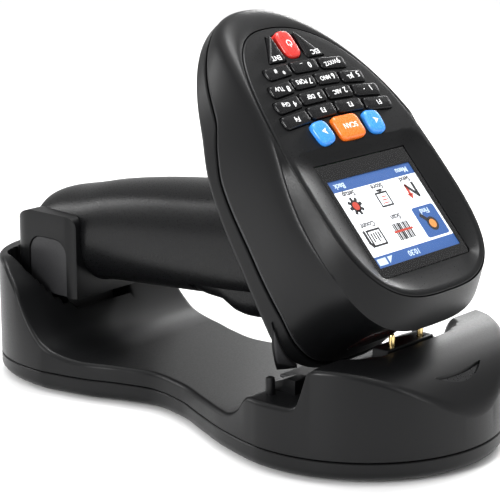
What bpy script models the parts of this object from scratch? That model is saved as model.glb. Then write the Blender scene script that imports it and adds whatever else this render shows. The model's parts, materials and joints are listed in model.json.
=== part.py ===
"""Cordless stock-taking scanner lying nose down in its charging cradle.

Run with: blender --background --python part.py
Sizes are in millimetres and become metres when a mesh is made. World frame: +X towards the nose end of
the cradle, +Z up, mirror plane y = 0, floor at z = 0. The head is drawn in its own frame (u towards the
nose, v across, n out of the display), with its origin at the middle of the display.
"""

import math

import bmesh
import bpy
import numpy as np
from mathutils import Matrix, Vector

MM = 0.001
GAP = 0.3                                  # clearance between two pieces that touch

# Cradle
END_X = 106.2                              # half of the overall length
SPLIT_Z = 8.0                              # joint between the base plate and the top shell
REAR_LOBE = (-62.8, 43.4, 40.7, 2.35)      # centre x, length, half width, roundness
FRONT_LOBE = (56.2, 50.0)                  # centre x, radius
SIDE_LINE = [(-62.8, 40.7), (-44.9, 37.2), (-29.7, 31.8), (-16.0, 28.6), (-0.2, 31.5),
             (15.3, 38.0), (30.1, 44.2), (42.4, 47.9), (50.0, 49.6)]
TOP_LINE = [(-106.2, 46.3), (-90.0, 46.3), (-85.8, 45.0), (-80.8, 41.0), (-76.4, 36.6), (-72.6, 30.5),
            (-67.8, 23.7), (-62.2, 18.4), (-57.5, 16.1), (-50.0, 14.7), (-44.0, 14.3), (31.0, 14.3),
            (35.5, 15.3), (41.0, 19.0), (44.0, 23.0), (46.5, 24.0), (63.5, 24.2), (67.6, 26.6),
            (69.4, 35.0), (71.6, 38.4), (77.2, 38.6), (83.7, 37.9), (90.6, 35.8), (94.8, 33.6),
            (98.6, 30.7), (101.8, 27.4), (104.2, 24.0), (106.2, 20.0)]
STEEP = [(-99.0, -63.0), (41.0, 46.0), (64.0, 81.0)]
WALL = 2.4
FLOOR_SKIN = 2.2
POCKET = (-88.0, 10.5, 18.7, 30.0)         # centre x, length to the rear, length to the front, half width
POCKET_FLOOR = 16.0
SEAT = (60.0, 20.5, 33.5)                  # centre x, length to the front, half width
SEAT_FLOOR = 24.0
FOOT_PLACES = [(-72.0, 24.0), (-72.0, -24.0), (62.0, 32.0), (62.0, -32.0)]
SCREW_PLACES = [(-50.0, 22.0), (-50.0, -22.0), (30.0, 30.0), (30.0, -30.0)]
PIN_X = 75.0
PIN_Y = 8.0
PIN_TOP = 42.6
PIN_TRAVEL = 2.5

# Scanner head
TILT = math.radians(48.4)
HEAD_ORIGIN = Vector((69.7, 0.0, 81.6))
# Egg shapes: widest u, length to the keys, length to the nose, half width, roundness at either end
PANEL_EGG = (-12.0, 67.5, 43.5, 37.0, 2.4, 3.0)
SHELL_EGG = (-12.0, 79.0, 41.0, 39.9, 2.4, 3.0)
SEAM_LINE = [(-91.0, -10.0), (-70.0, -13.5), (-56.0, -15.0), (-46.0, -20.5), (-36.0, -25.0),
             (-8.0, -29.5), (10.0, -33.5), (22.0, -40.5), (29.0, -46.5)]
SHELL_LOW = [(-91.0, -14.5), (-82.0, -18.0), (-67.0, -22.0), (-55.0, -25.0), (-42.0, -30.0),
             (-25.0, -34.0), (-5.0, -38.0), (8.0, -42.0), (18.0, -47.0), (29.0, -51.0)]
KEEL_LINE = [(-91.0, -14.5), (-75.0, -25.0), (-60.0, -33.0), (-45.0, -39.0), (-30.0, -43.0),
             (-12.0, -45.5), (6.0, -47.0), (20.0, -49.8), (29.0, -51.0)]
ISLAND_LINE = [(-34.0, 1.5), (-27.0, 0.0), (-20.0, -2.0), (-8.0, -4.5), (10.0, -6.0), (20.0, -7.5),
               (27.0, -9.0), (31.8, -10.5)]
FLARE_LINE = [(-79.8, 0.1), (-60.0, 0.15), (-40.0, 0.8), (-25.0, 1.6), (-8.0, 2.4), (10.0, 3.4),
              (22.0, 4.6), (31.8, 6.0)]     # how far the upper shell's collar stands out from the panel
BULGE_LINE = [(-79.8, 0.0), (-50.0, 0.0), (-25.0, 0.8), (0.0, 1.4), (15.0, 1.1), (28.0, 0.0), (31.8, 0.0)]
PANEL_TOP = 1.8
PANEL_SKIN = 2.2
PANEL_BEND = 0.0022
WINDOW = (-23.3, 21.0, 24.8)               # display window: u from, u to, half width
DISH = (-28.4, 1.9, 1.4)                   # frame round the window: u from, set in from the panel's edge, power
SCAN_WINDOW = (14.7, -37.7, -22.3)         # half width, n from, n to

# Keys: name, u, v, size along u, size along v, turn in degrees
KEY_ROWS = [
    ("key_star", -59.7, -14.6, 4.7, 12.6, 5.0), ("key_0", -60.3, 0.0, 4.7, 13.0, 0.0),
    ("key_9", -59.7, 14.6, 4.7, 12.6, -5.0),
    ("key_8", -52.6, -19.0, 4.7, 11.3, 6.0), ("key_7", -53.9, -6.3, 4.7, 11.3, 2.0),
    ("key_6", -53.9, 6.3, 4.7, 11.3, -2.0), ("key_5", -52.6, 19.0, 4.7, 11.3, -6.0),
    ("key_4", -46.3, -21.1, 4.8, 12.7, 6.0), ("key_3", -47.5, -7.1, 4.8, 12.7, 2.0),
    ("key_2", -47.5, 7.1, 4.8, 12.7, -2.0), ("key_1", -46.3, 21.1, 4.8, 12.7, -6.0),
    ("key_F4", -40.2, -22.2, 4.9, 13.3, 5.0), ("key_F3", -41.6, -7.4, 4.9, 13.3, 2.0),
    ("key_F2", -41.6, 7.4, 4.9, 13.3, -2.0), ("key_F1", -40.2, 22.2, 4.9, 13.3, -5.0),
]
BIG_KEYS = [
    ("key_right", -33.4, -13.9, 9.0, 8.2, 6.0), ("key_scan", -33.6, 0.0, 9.2, 13.2, 0.0),
    ("key_left", -33.4, 13.9, 9.0, 8.2, -6.0), ("key_power", -70.3, 0.0, 11.2, 8.0, 0.0),
]
CORNER_KEY = [(-75.3, 6.2), (-64.0, 5.6), (-64.0, 14.6)]     # enter and escape keys, mirrored

# Handle: x, middle z, half height, half width
HANDLE = [(-94.0, 48.0, 11.0, 12.5), (-92.6, 49.0, 15.0, 15.5), (-89.0, 50.4, 16.9, 17.2),
          (-81.0, 51.8, 18.2, 17.9), (-72.0, 53.3, 18.6, 18.0), (-56.0, 56.2, 19.4, 18.2),
          (-34.0, 58.8, 20.4, 18.6), (-12.0, 60.9, 20.9, 19.0), (14.0, 63.7, 21.4, 19.6),
          (52.0, 67.8, 22.0, 20.0)]
BOOT = (-96.3, -62.8, 22.0, 31.5, 63.0)    # x from, x to, half width, z from, z to
BATTERY = ((-84.0, 50.6), (-20.0, 59.7), 9.2)
PIVOT = (24.0, 52.5)                       # x and z of the trigger's pin
TRIGGER_LINE = [(-11.0, 40.9), (-8.0, 40.0), (-4.0, 39.7), (0.0, 39.3), (3.0, 37.6), (6.0, 35.9),
                (11.0, 35.2), (17.0, 35.6), (22.0, 37.8), (26.0, 41.0), (28.3, 46.0)]
TRIGGER_TOP = 50.0
TRIGGER_LUG = 55.2                         # height of the lug round the pin
TRIGGER_HALF = 13.0
PIN_HALF = 15.8
SLOT = (-12.4, 30.0, 13.6, 56.0)           # x from, x to, half width, top

# Colour, roughness and metalness of each finish
COLOURS = {
    "charcoal plastic": ((0.022, 0.023, 0.026, 1), 0.42, 0.0),
    "panel plastic": ((0.03, 0.031, 0.035, 1), 0.5, 0.0),
    "key rubber": ((0.02, 0.02, 0.023, 1), 0.55, 0.0),
    "red key": ((0.75, 0.06, 0.04, 1), 0.4, 0.0),
    "blue key": ((0.04, 0.30, 0.75, 1), 0.35, 0.0),
    "orange key": ((0.9, 0.27, 0.03, 1), 0.35, 0.0),
    "window glass": ((0.02, 0.02, 0.025, 1), 0.1, 0.0),
    "screen": ((0.75, 0.8, 0.9, 1), 0.4, 0.0),
    "soft rubber": ((0.012, 0.012, 0.013, 1), 0.8, 0.0),
    "steel": ((0.55, 0.55, 0.57, 1), 0.3, 1.0),
    "brass": ((0.8, 0.6, 0.25, 1), 0.3, 1.0),
    "board green": ((0.02, 0.16, 0.06, 1), 0.5, 0.0),
    "cell wrap": ((0.05, 0.2, 0.5, 1), 0.4, 0.0),
    "lens": ((0.1, 0.1, 0.11, 1), 0.2, 0.0),
}


# ---------------------------------------------------------------- shared curves

def smooth(knots, at):
    """Smooth line through the knots that never overshoots them."""
    xs = np.array([k[0] for k in knots])
    ys = np.array([k[1] for k in knots])
    steps = np.diff(xs)
    slopes = np.diff(ys) / steps
    tangents = np.zeros(len(xs))
    for i in range(1, len(xs) - 1):
        if slopes[i - 1] * slopes[i] > 0:
            tangents[i] = 2 * slopes[i - 1] * slopes[i] / (slopes[i - 1] + slopes[i])
    tangents[0] = slopes[0]
    tangents[-1] = slopes[-1]
    at = np.clip(np.asarray(at, float), xs[0], xs[-1])
    i = np.clip(np.searchsorted(xs, at) - 1, 0, len(steps) - 1)
    t = (at - xs[i]) / steps[i]
    return ((1 + 2 * t) * (1 - t) ** 2 * ys[i] + t * (1 - t) ** 2 * steps[i] * tangents[i]
            + t * t * (3 - 2 * t) * ys[i + 1] + t * t * (t - 1) * steps[i] * tangents[i + 1])


def fade(t):
    t = np.clip(t, 0.0, 1.0)
    return t * t * (3 - 2 * t)


def egg(shape, count, grow=0.0):
    """Outline of the head: a rounder half towards the keys and a squarer one towards the nose."""
    middle, to_keys, to_nose, half, round_keys, round_nose = shape
    angle = np.linspace(0, 2 * math.pi, count, endpoint=False) + math.pi / count
    c, s = np.cos(angle), np.sin(angle)
    power = np.where(c > 0, round_nose, round_keys)
    reach = np.where(c > 0, to_nose + grow, to_keys + grow)
    u = middle + reach * np.sign(c) * np.abs(c) ** (2 / power)
    v = (half + grow) * np.sign(s) * np.abs(s) ** (2 / power)
    return np.stack([u, v], 1)


def panel_n(u):
    """Height of the face: flat by the display, falling away gently over the keypad."""
    return PANEL_TOP - PANEL_BEND * np.minimum(np.asarray(u, float) + 30.0, 0.0) ** 2


def island_n(u):
    """Height of the collar's outer edge."""
    return np.where(u < -34.0, panel_n(u) - 0.3, smooth(ISLAND_LINE, u))


def keel_n(u, v):
    """Underside of the head."""
    middle, to_keys, to_nose, half, round_keys, round_nose = SHELL_EGG
    power = round_nose if u > middle else round_keys
    reach = to_nose if u > middle else to_keys
    share = (abs((u - middle) / reach) ** power + abs(v / half) ** power) ** (1 / power)
    if share < 1e-6:
        return float(smooth(KEEL_LINE, u))
    rim = middle + (u - middle) / share
    blend = min(share, 1.0) ** 3
    return float(smooth(SHELL_LOW, rim) * blend + smooth(KEEL_LINE, u) * (1 - blend))


def side_y(x):
    """Half width of the cradle at x."""
    if x < REAR_LOBE[0]:
        share = min(1.0, (REAR_LOBE[0] - x) / REAR_LOBE[1])
        return REAR_LOBE[2] * (1 - share ** REAR_LOBE[3]) ** (1 / REAR_LOBE[3])
    if x > SIDE_LINE[-1][0]:
        return math.sqrt(max(0.0, FRONT_LOBE[1] ** 2 - (x - FRONT_LOBE[0]) ** 2))
    return float(smooth(SIDE_LINE, x))


def stations(ends, step):
    """Places along X, closer together round both ends and where the upper face is steep."""
    turn = np.linspace(0, math.pi / 2, ends + 1)[:-1]
    rear = REAR_LOBE[0] - REAR_LOBE[1] * np.cos(turn) ** (2 / REAR_LOBE[3])
    front = FRONT_LOBE[0] + FRONT_LOBE[1] * np.cos(turn)
    found = [x for x in np.concatenate([rear, front]) if not any(a < x < b for a, b in STEEP)]
    for start, end in STEEP:
        found += list(np.arange(start, end + 0.01, step / 2.5))
    edges = sorted(found)
    for a, b in zip(edges, edges[1:]):
        if b - a > step * 1.2:
            found += list(np.linspace(a, b, round((b - a) / step) + 1)[1:-1])
    return np.array(sorted(found))


def edge_distance(points):
    """Distance of each (x, y) point to the outline of the cradle."""
    xs = stations(60, 1.0)
    line = np.array([(x, side_y(x)) for x in xs])
    found = np.empty(len(points))
    for i, (x, y) in enumerate(points):
        found[i] = np.min(np.hypot(line[:, 0] - x, line[:, 1] - abs(y)))
    return found


def cradle_top(points):
    """Height of the cradle's upper face at each (x, y) point."""
    x, y = points[:, 0], np.abs(points[:, 1])
    z = smooth(TOP_LINE, x)
    reach = np.where(x < POCKET[0], POCKET[1], POCKET[2])
    share = (np.abs((x - POCKET[0]) / reach) ** 2.5 + (y / POCKET[3]) ** 2.5) ** 0.4
    z = np.where(share < 1, POCKET_FLOOR + (z - POCKET_FLOOR) * fade((share - 0.90) / 0.10), z)
    ahead = np.maximum(x - SEAT[0], 0) / SEAT[1]
    share = (ahead ** 3.5 + (y / SEAT[2]) ** 3.5) ** (1 / 3.5)
    inside = (x > SEAT[0] - 1) & (share < 1) & (z > SEAT_FLOOR)
    z = np.where(inside, SEAT_FLOOR + (z - SEAT_FLOOR) * fade((share - 0.72) / 0.28), z)
    radius = 2.5 + 2.0 * fade((x - 60) / 15)
    depth = np.minimum(edge_distance(points), radius)
    return z - (radius - np.sqrt(np.maximum(radius ** 2 - (radius - depth) ** 2, 0)))


# ---------------------------------------------------------------- mesh helpers

def material(name):
    found = bpy.data.materials.get(name)
    if found:
        return found
    colour, roughness, metallic = COLOURS[name]
    made = bpy.data.materials.new(name)
    made.use_nodes = True
    shader = made.node_tree.nodes["Principled BSDF"]
    shader.inputs["Base Color"].default_value = colour
    shader.inputs["Roughness"].default_value = roughness
    shader.inputs["Metallic"].default_value = metallic
    made.diffuse_color = colour
    return made


def add_object(name, bm, coat, origin=(0, 0, 0)):
    """Finishes a bmesh drawn in millimetres about origin and links it as an object."""
    bmesh.ops.remove_doubles(bm, verts=bm.verts, dist=1e-4)
    bmesh.ops.recalc_face_normals(bm, faces=bm.faces)
    bmesh.ops.transform(bm, matrix=Matrix.Scale(MM, 4) @ Matrix.Translation(-Vector(origin)), verts=bm.verts)
    mesh = bpy.data.meshes.new(name)
    bm.to_mesh(mesh)
    bm.free()
    mesh.materials.append(material(coat))
    made = bpy.data.objects.new(name, mesh)
    made.location = Vector(origin) * MM
    bpy.context.scene.collection.objects.link(made)
    return made


def ring_bmesh(rings, wrap=False):
    """Skins rings of equal length. Ends are closed with flat or fanned caps unless the last meets the first."""
    bm = bmesh.new()
    rows = [[bm.verts.new(p) for p in ring] for ring in rings]
    count = len(rows[0])
    pairs = list(zip(rows, rows[1:]))
    if wrap:
        pairs.append((rows[-1], rows[0]))
    for low, high in pairs:
        for i in range(count):
            j = (i + 1) % count
            bm.faces.new((low[i], low[j], high[j], high[i]))
    if not wrap:
        for row in (rows[0], rows[-1]):
            centre = bm.verts.new(sum((v.co for v in row), Vector()) / count)
            for i in range(count):
                bm.faces.new((row[i], row[(i + 1) % count], centre))
    return bm


def prism_bmesh(outline, low, high):
    """Straight solid over a convex or gently curved outline."""
    bm = bmesh.new()
    under = [bm.verts.new((p[0], p[1], low)) for p in outline]
    over = [bm.verts.new((p[0], p[1], high)) for p in outline]
    bm.faces.new(under)
    bm.faces.new(over)
    for i in range(len(outline)):
        j = (i + 1) % len(outline)
        bm.faces.new((under[i], under[j], over[j], over[i]))
    return bm


def box_bmesh(x, y, z):
    return prism_bmesh([(x[0], y[0]), (x[1], y[0]), (x[1], y[1]), (x[0], y[1])], z[0], z[1])


def side_prism_bmesh(outline, half):
    """Solid over an (x, z) outline, from y = -half to y = half."""
    bm = prism_bmesh(outline, -half, half)
    bmesh.ops.transform(bm, matrix=Matrix.Rotation(math.radians(90), 4, "X"), verts=bm.verts)
    return bm


def tube_bmesh(start, end, radius, count=20):
    start, end = Vector(start), Vector(end)
    turn = (end - start).to_track_quat("Z", "Y").to_matrix()
    rings = []
    for middle in (start, end):
        rings.append([middle + turn @ Vector((radius * math.cos(a), radius * math.sin(a), 0))
                      for a in np.linspace(0, 2 * math.pi, count, endpoint=False)])
    return ring_bmesh(rings)


def joined(parts):
    """One bmesh out of several."""
    out = bmesh.new()
    for part in parts:
        mesh = bpy.data.meshes.new("joining")
        part.to_mesh(mesh)
        part.free()
        out.from_mesh(mesh)
        bpy.data.meshes.remove(mesh)
    return out


def rounded(outline, radius, steps=3):
    """Rounds each corner of an outline of (x, y) points."""
    points = []
    count = len(outline)
    for i in range(count):
        before, corner, after = (Vector(outline[(i + k) % count][:2]) for k in (-1, 0, 1))
        reach = min(radius, (before - corner).length / 2.01, (after - corner).length / 2.01)
        start = corner + (before - corner).normalized() * reach
        end = corner + (after - corner).normalized() * reach
        for k in range(steps + 1):
            t = k / steps
            points.append(tuple(start * (1 - t) ** 2 + corner * 2 * t * (1 - t) + end * t * t))
    return points


def modifier(obj, kind, **settings):
    made = obj.modifiers.new(kind.lower(), kind)
    for key, value in settings.items():
        setattr(made, key, value)
    return made


def soften(obj, width, segments=2):
    limit = math.radians(40)
    modifier(obj, "BEVEL", width=width * MM, segments=segments, limit_method="ANGLE", angle_limit=limit)


def cut(obj, name, bm, placed=None, operation="DIFFERENCE"):
    """Cuts a hidden shape out of an object, in the object's own frame when placed is its empty."""
    cutter = add_object(name, bm, "steel")
    cutter.hide_render = True
    cutter.display_type = "WIRE"
    cutter.parent = placed
    modifier(obj, "BOOLEAN", object=cutter, operation=operation)


# ---------------------------------------------------------------- cradle

def across(fine):
    """Shares of the half width where the cradle's upper face has its rows."""
    turn = np.linspace(-1, 1, fine)
    return np.sign(turn) * (1 - (1 - np.abs(turn)) ** 1.6)


def cradle_shell():
    """Top shell: the upper face, an outer wall, and a hollow that follows both from below."""
    xs = stations(8, 6.0)
    shares = across(17)
    outer = np.array([[(x, side_y(x) * s) for s in shares] for x in xs])
    width = np.array([max(side_y(x), 1e-6) for x in xs])
    squeeze = np.clip(1 - (WALL + 0.3) / width, 0.3, 1)
    inner = outer * np.array([1 - (WALL + 0.3) / END_X, 1])
    inner[:, :, 1] *= squeeze[:, None]
    flat = (len(xs) * len(shares), 2)
    outer_z = cradle_top(outer.reshape(flat)).reshape(outer.shape[:2])
    inner_z = cradle_top(inner.reshape(flat)).reshape(inner.shape[:2]) - WALL
    bm = bmesh.new()
    for plan, heights, bottom in ((outer, outer_z, SPLIT_Z + 0.1), (inner, inner_z, SPLIT_Z + 0.1)):
        grid = [[bm.verts.new((p[0], p[1], z)) for p, z in zip(row, line)] for row, line in zip(plan, heights)]
        for a, b in zip(grid, grid[1:]):
            for j in range(len(shares) - 1):
                bm.faces.new((a[j], a[j + 1], b[j + 1], b[j]))
        loop = [row[0] for row in grid] + [row[-1] for row in grid[::-1]]
        foot = [bm.verts.new((v.co.x, v.co.y, bottom)) for v in loop]
        for i in range(len(loop)):
            j = (i + 1) % len(loop)
            bm.faces.new((loop[i], loop[j], foot[j], foot[i]))
        if plan is outer:
            outer_foot = foot
    for i in range(len(foot)):
        j = (i + 1) % len(foot)
        bm.faces.new((outer_foot[i], outer_foot[j], foot[j], foot[i]))
    shell = add_object("cradle_top_shell", bm, "charcoal plastic")
    cut(shell, "inlet_cutter", box_bmesh((-112, -94), (-5.2, 5.2), (9.6, 13.6)))
    cut(shell, "status_cutter", prism_bmesh(crescent(GAP), 18, 60))
    posts = [tube_bmesh((49.7, y, SEAT_FLOOR - 1.4), (49.7, y, 30.0), 1.6, 16) for y in (-41.0, 41.0)]
    cut(shell, "guide_posts", joined(posts), operation="UNION")


def outline(grow=0.0, ends=8, step=12.0):
    """Outline of the cradle, moved in or out by grow."""
    xs = stations(ends, step)
    scale = 1 + grow / END_X
    near = [(x * scale, -max(side_y(x) + grow, 0.0)) for x in xs[1:-1]]
    far = [(x, -y) for x, y in near[::-1]]
    return [(xs[0] * scale, 0.0)] + near + [(xs[-1] * scale, 0.0)] + far


def cradle_base():
    """Tray that closes the cradle from below, with a rounded lower edge."""
    levels = [(-3.2, 1.0), (-1.0, 1.9), (0.0, 4.2), (0.0, SPLIT_Z - 0.2)]
    rings = [[(x, y, z) for x, y in outline(grow)] for grow, z in levels]
    inner = [[(x, y, z) for x, y in outline(-WALL - 1)] for z in (SPLIT_Z - 0.2, 1.0 + FLOOR_SKIN)]
    bm = ring_bmesh(rings + inner)
    base = add_object("cradle_base_plate", bm, "charcoal plastic")
    feet = [tube_bmesh((x, y, 0.0), (x, y, 1.6), 5.0) for x, y in FOOT_PLACES]
    cut(base, "foot_cutters", joined(feet))
    holes = [tube_bmesh((x, y, 0.0), (x, y, 2.2), 2.9, 12) for x, y in SCREW_PLACES]
    cut(base, "screw_cutters", joined(holes))
    for i, (x, y) in enumerate(FOOT_PLACES, 1):
        add_object(f"cradle_foot_{i}", tube_bmesh((x, y, 0.0), (x, y, 1.3), 4.6), "soft rubber")
    for i, (x, y) in enumerate(SCREW_PLACES, 1):
        add_object(f"base_screw_{i}", tube_bmesh((x, y, 0.7), (x, y, 1.9), 2.5, 12), "steel")


def crescent(grow=0.0):
    """Moon-shaped outline on the front slope, its middle nearest the front."""
    turns = np.linspace(-1, 1, 13)
    reach = 12.4 + 2.5 * grow
    front = [(99.6 + grow - (3.2 + grow) * t * t, reach * t) for t in turns]
    rear = [(97.2 - grow - 0.8 * t * t, reach * t) for t in turns[::-1]]
    return front + rear[1:-1]


def cradle_fittings():
    lens = bmesh.new()
    line = crescent()
    heights = smooth(TOP_LINE, [p[0] for p in line])
    over = [lens.verts.new((p[0], p[1], z - 0.7)) for p, z in zip(line, heights)]
    under = [lens.verts.new((p[0], p[1], z - 4.5)) for p, z in zip(line, heights)]
    lens.faces.new(over)
    lens.faces.new(under)
    for i in range(len(line)):
        j = (i + 1) % len(line)
        lens.faces.new((under[i], under[j], over[j], over[i]))
    bmesh.ops.triangulate(lens, faces=lens.faces)
    add_object("status_light_lens", lens, "lens")
    slab = box_bmesh((41.0, 60.0), (-26, 26), (SEAT_FLOOR + GAP, 25.5))
    pad = add_object("nose_rest_pad", slab, "soft rubber")
    soften(pad, 0.8)
    stand = box_bmesh((-92.0, -76.0), (-12, 12), (POCKET_FLOOR + GAP, 31.1))
    rest = add_object("handle_rest", stand, "soft rubber")
    soften(rest, 1.0)
    side = [(70.5, 24.5), (73.0, 24.5), (77.2, 33.2), (77.2, 38.0), (70.5, 38.0)]
    block = add_object("contact_block", side_prism_bmesh(side, 13), "panel plastic")
    holes = [tube_bmesh((PIN_X, y, 22), (PIN_X, y, 45), 1.4, 16) for y in (-PIN_Y, PIN_Y)]
    cut(block, "pin_cutters", joined(holes))
    for side, y in (("right", -PIN_Y), ("left", PIN_Y)):
        pin = tube_bmesh((PIN_X, y, 29.5 + PIN_TRAVEL), (PIN_X, y, PIN_TOP), 1.05, 16)
        add_object("charging_pin_" + side, pin, "brass", origin=(PIN_X, y, PIN_TOP))
    board = box_bmesh((-8.0, 52.0), (-20, 20), (9.0, 10.6))
    add_object("cradle_circuit_board", board, "board green")
    inlet = add_object("power_inlet", box_bmesh((-104.6, -97.0), (-4.7, 4.7), (9.9, 13.3)), "steel")
    cut(inlet, "inlet_hollow", box_bmesh((-107, -98.4), (-3.9, 3.9), (10.7, 12.5)))


# ---------------------------------------------------------------- head

def in_head(obj, head):
    """Turns an object drawn in head coordinates into place."""
    obj.parent = head
    return obj


def head_ring(plan, n):
    return np.column_stack([plan, np.broadcast_to(n, len(plan))])


def upper_shell(head):
    count = 56
    hole = egg(PANEL_EGG, count, GAP)
    edge = egg(SHELL_EGG, count)
    seam = smooth(SEAM_LINE, edge[:, 0])
    top = panel_n(hole[:, 0])
    low = island_n(hole[:, 0])
    ledge = egg(PANEL_EGG, count, GAP + smooth(FLARE_LINE, hole[:, 0]))
    swell = (egg(SHELL_EGG, count, 1.0) - edge) * smooth(BULGE_LINE, hole[:, 0])[:, None]
    rings = [head_ring(hole, top - PANEL_SKIN - 1), head_ring(hole, top - 0.3)]
    for t in np.linspace(0, math.pi / 2, 7):
        plan = ledge + (edge - ledge) * math.sin(t) + swell * math.sin(2 * t)
        rings.append(head_ring(plan, low + (seam - low) * (1 - math.cos(t))))
    inset = egg(SHELL_EGG, count, -WALL)
    for t in np.linspace(math.pi / 2, 0.3, 5):
        plan = hole + (inset - hole) * math.sin(t)
        rings.append(head_ring(plan, top - PANEL_SKIN - 1 + (seam - top + PANEL_SKIN + 1) * (1 - math.cos(t))))
    shell = add_object("head_upper_shell", ring_bmesh(rings, wrap=True), "charcoal plastic")
    half, low, high = SCAN_WINDOW
    cut(shell, "scan_cutter", box_bmesh((20, 42), (-half - GAP, half + GAP), (low - GAP, high + GAP)), head)
    in_head(shell, head)


def face_panel(head):
    count = 48
    edge = egg(PANEL_EGG, count)
    inner = egg(PANEL_EGG, count, -2.0)
    top = panel_n(edge[:, 0])
    roof = top - PANEL_SKIN
    skirt = roof - 0.6
    rings = [head_ring(inner, roof), head_ring(inner, skirt), head_ring(edge, skirt), head_ring(edge, top - 0.8),
             head_ring(egg(PANEL_EGG, count, -0.9), top)]
    for grow in (-12.0, -26.0):
        ring = egg(PANEL_EGG, count, grow)
        rings.append(np.column_stack([ring, panel_n(ring[:, 0])]))
    under = []
    for grow in (-26.0, -12.0):
        ring = egg(PANEL_EGG, count, grow)
        under.append(np.column_stack([ring, panel_n(ring[:, 0]) - PANEL_SKIN]))
    panel = add_object("face_panel", ring_bmesh(under + rings), "panel plastic")
    rings = dish_rings(40, (0.0, 0.5, 1.0))
    rings = [rings[0] - np.array([0, 0, 12.0])] + rings + [rings[-1] + np.array([0, 0, 3.0])]
    cut(panel, "window_cutter", ring_bmesh(rings), head)
    start, end, half = WINDOW
    cut(panel, "glass_cutter", box_bmesh((start, end), (-half, half), (-12, 0.02)), head)
    cut(panel, "key_cutters", joined([prism_bmesh(key_outline(k, 0.35), -14, 8) for k in all_keys()]), head)
    in_head(panel, head)


def dish_rings(count, shares):
    """Outlines from the edge of the cover glass out to the edge of the dished frame, rising as they widen."""
    start, end, half = WINDOW
    centre = (start + end) / 2
    angle = np.linspace(0, 2 * math.pi, count, endpoint=False)
    along, aside = np.cos(angle), np.sin(angle)
    inner = (np.abs(along / (end - centre)) ** 14 + np.abs(aside / half) ** 14) ** (-1 / 14)
    middle, _, to_nose, wide, _, power = PANEL_EGG
    near, far = np.zeros(count), np.full(count, 60.0)
    for _ in range(30):
        reach = (near + far) / 2
        u, v = centre + reach * along, reach * aside
        ahead = np.maximum(u - middle, 0) / (to_nose - DISH[1])
        inside = (ahead ** power + np.abs(v / (wide - DISH[1])) ** power) ** (1 / power)
        inside = (inside ** 10 + (np.maximum(-u, 0) / -DISH[0]) ** 10) ** 0.1
        near, far = np.where(inside < 1, reach, near), np.where(inside < 1, far, reach)
    rings = []
    for share in shares:
        reach = inner + (near - inner) * share
        plan = np.stack([centre + reach * along, reach * aside], 1)
        rings.append(head_ring(plan, -0.2 + (PANEL_TOP + 0.22) * share ** DISH[2]))
    return rings


def all_keys():
    corner = [("key_enter", -1), ("key_escape", 1)]
    return KEY_ROWS + BIG_KEYS + [(name, side) for name, side in corner]


def key_outline(key, grow=0.0, steps=2):
    """Outline of one key in head coordinates."""
    if len(key) == 2:
        points = [Vector((u, v * key[1])) for u, v in CORNER_KEY]
        middle = sum(points, Vector((0, 0))) / 3
        points = [middle + (p - middle) * (1 + 2.2 * grow / 5.0) for p in points]
        return rounded([tuple(p) for p in points], 1.3 + grow, steps)
    name, u, v, long, wide, turn = key
    a, b = long / 2 + grow, wide / 2 + grow
    radius = {"key_power": 3.6, "key_left": 3.2, "key_right": 3.2, "key_scan": 2.6}.get(name, 1.5) + grow
    spin = Matrix.Rotation(math.radians(turn), 2)
    corners = [spin @ Vector(p) + Vector((u, v)) for p in ((-a, -b), (a, -b), (a, b), (-a, b))]
    return rounded([tuple(c) for c in corners], radius, steps)


def key_place(key):
    line = key_outline(key)
    return (sum(p[0] for p in line) / len(line), sum(p[1] for p in line) / len(line))


def keys(head):
    coats = {
        "key_power": "red key",
        "key_left": "blue key",
        "key_right": "blue key",
        "key_scan": "orange key",
    }
    for key in all_keys():
        u, v = key_place(key)
        tall = 1.9 if key[0] in ("key_left", "key_right", "key_scan", "key_power") else 1.3
        top = float(panel_n(u)) + tall
        levels = [(0.0, -4.4), (0.0, top - 0.8), (-0.35, top - 0.2), (-1.0, top)]
        rings = [[(p[0], p[1], n) for p in key_outline(key, grow)] for grow, n in levels]
        made = add_object(key[0], ring_bmesh(rings), coats.get(key[0], "key rubber"), origin=(u, v, top))
        in_head(made, head)


def lower_shell(head):
    count = 56
    edge = egg(SHELL_EGG, count)
    seam = smooth(SEAM_LINE, edge[:, 0]) - 1.8
    low = smooth(SHELL_LOW, edge[:, 0])
    inset = egg(SHELL_EGG, count, -WALL)
    rings = [np.column_stack([inset, seam]), np.column_stack([edge, seam]),
             np.column_stack([edge, low * 0.75 + seam * 0.25])]
    bowl = [0.985, 0.93, 0.82, 0.62, 0.36, 0.12]
    centre = np.array([SHELL_EGG[0], 0.0])
    for share in bowl:
        plan = centre + (edge - centre) * share
        rings.append(np.column_stack([plan, [keel_n(*p) for p in plan]]))
    inner = []
    for share in bowl:
        plan = centre + (inset - centre) * share
        inner.append(np.column_stack([plan, [keel_n(*p) + WALL for p in plan]]))
    bm = ring_bmesh(inner[::-1] + rings)
    shell = add_object("head_lower_shell", bm, "charcoal plastic")
    in_head(shell, head)
    outer = egg(SHELL_EGG, count, -0.9)
    inner = egg(SHELL_EGG, count, -WALL - 0.2)
    level = smooth(SEAM_LINE, edge[:, 0])
    rings = [np.column_stack([outer, level - GAP]), np.column_stack([outer, level - 1.5]),
             np.column_stack([inner, level - 1.5]), np.column_stack([inner, level - GAP])]
    in_head(add_object("seam_gasket", ring_bmesh(rings, wrap=True), "soft rubber"), head)


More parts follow.
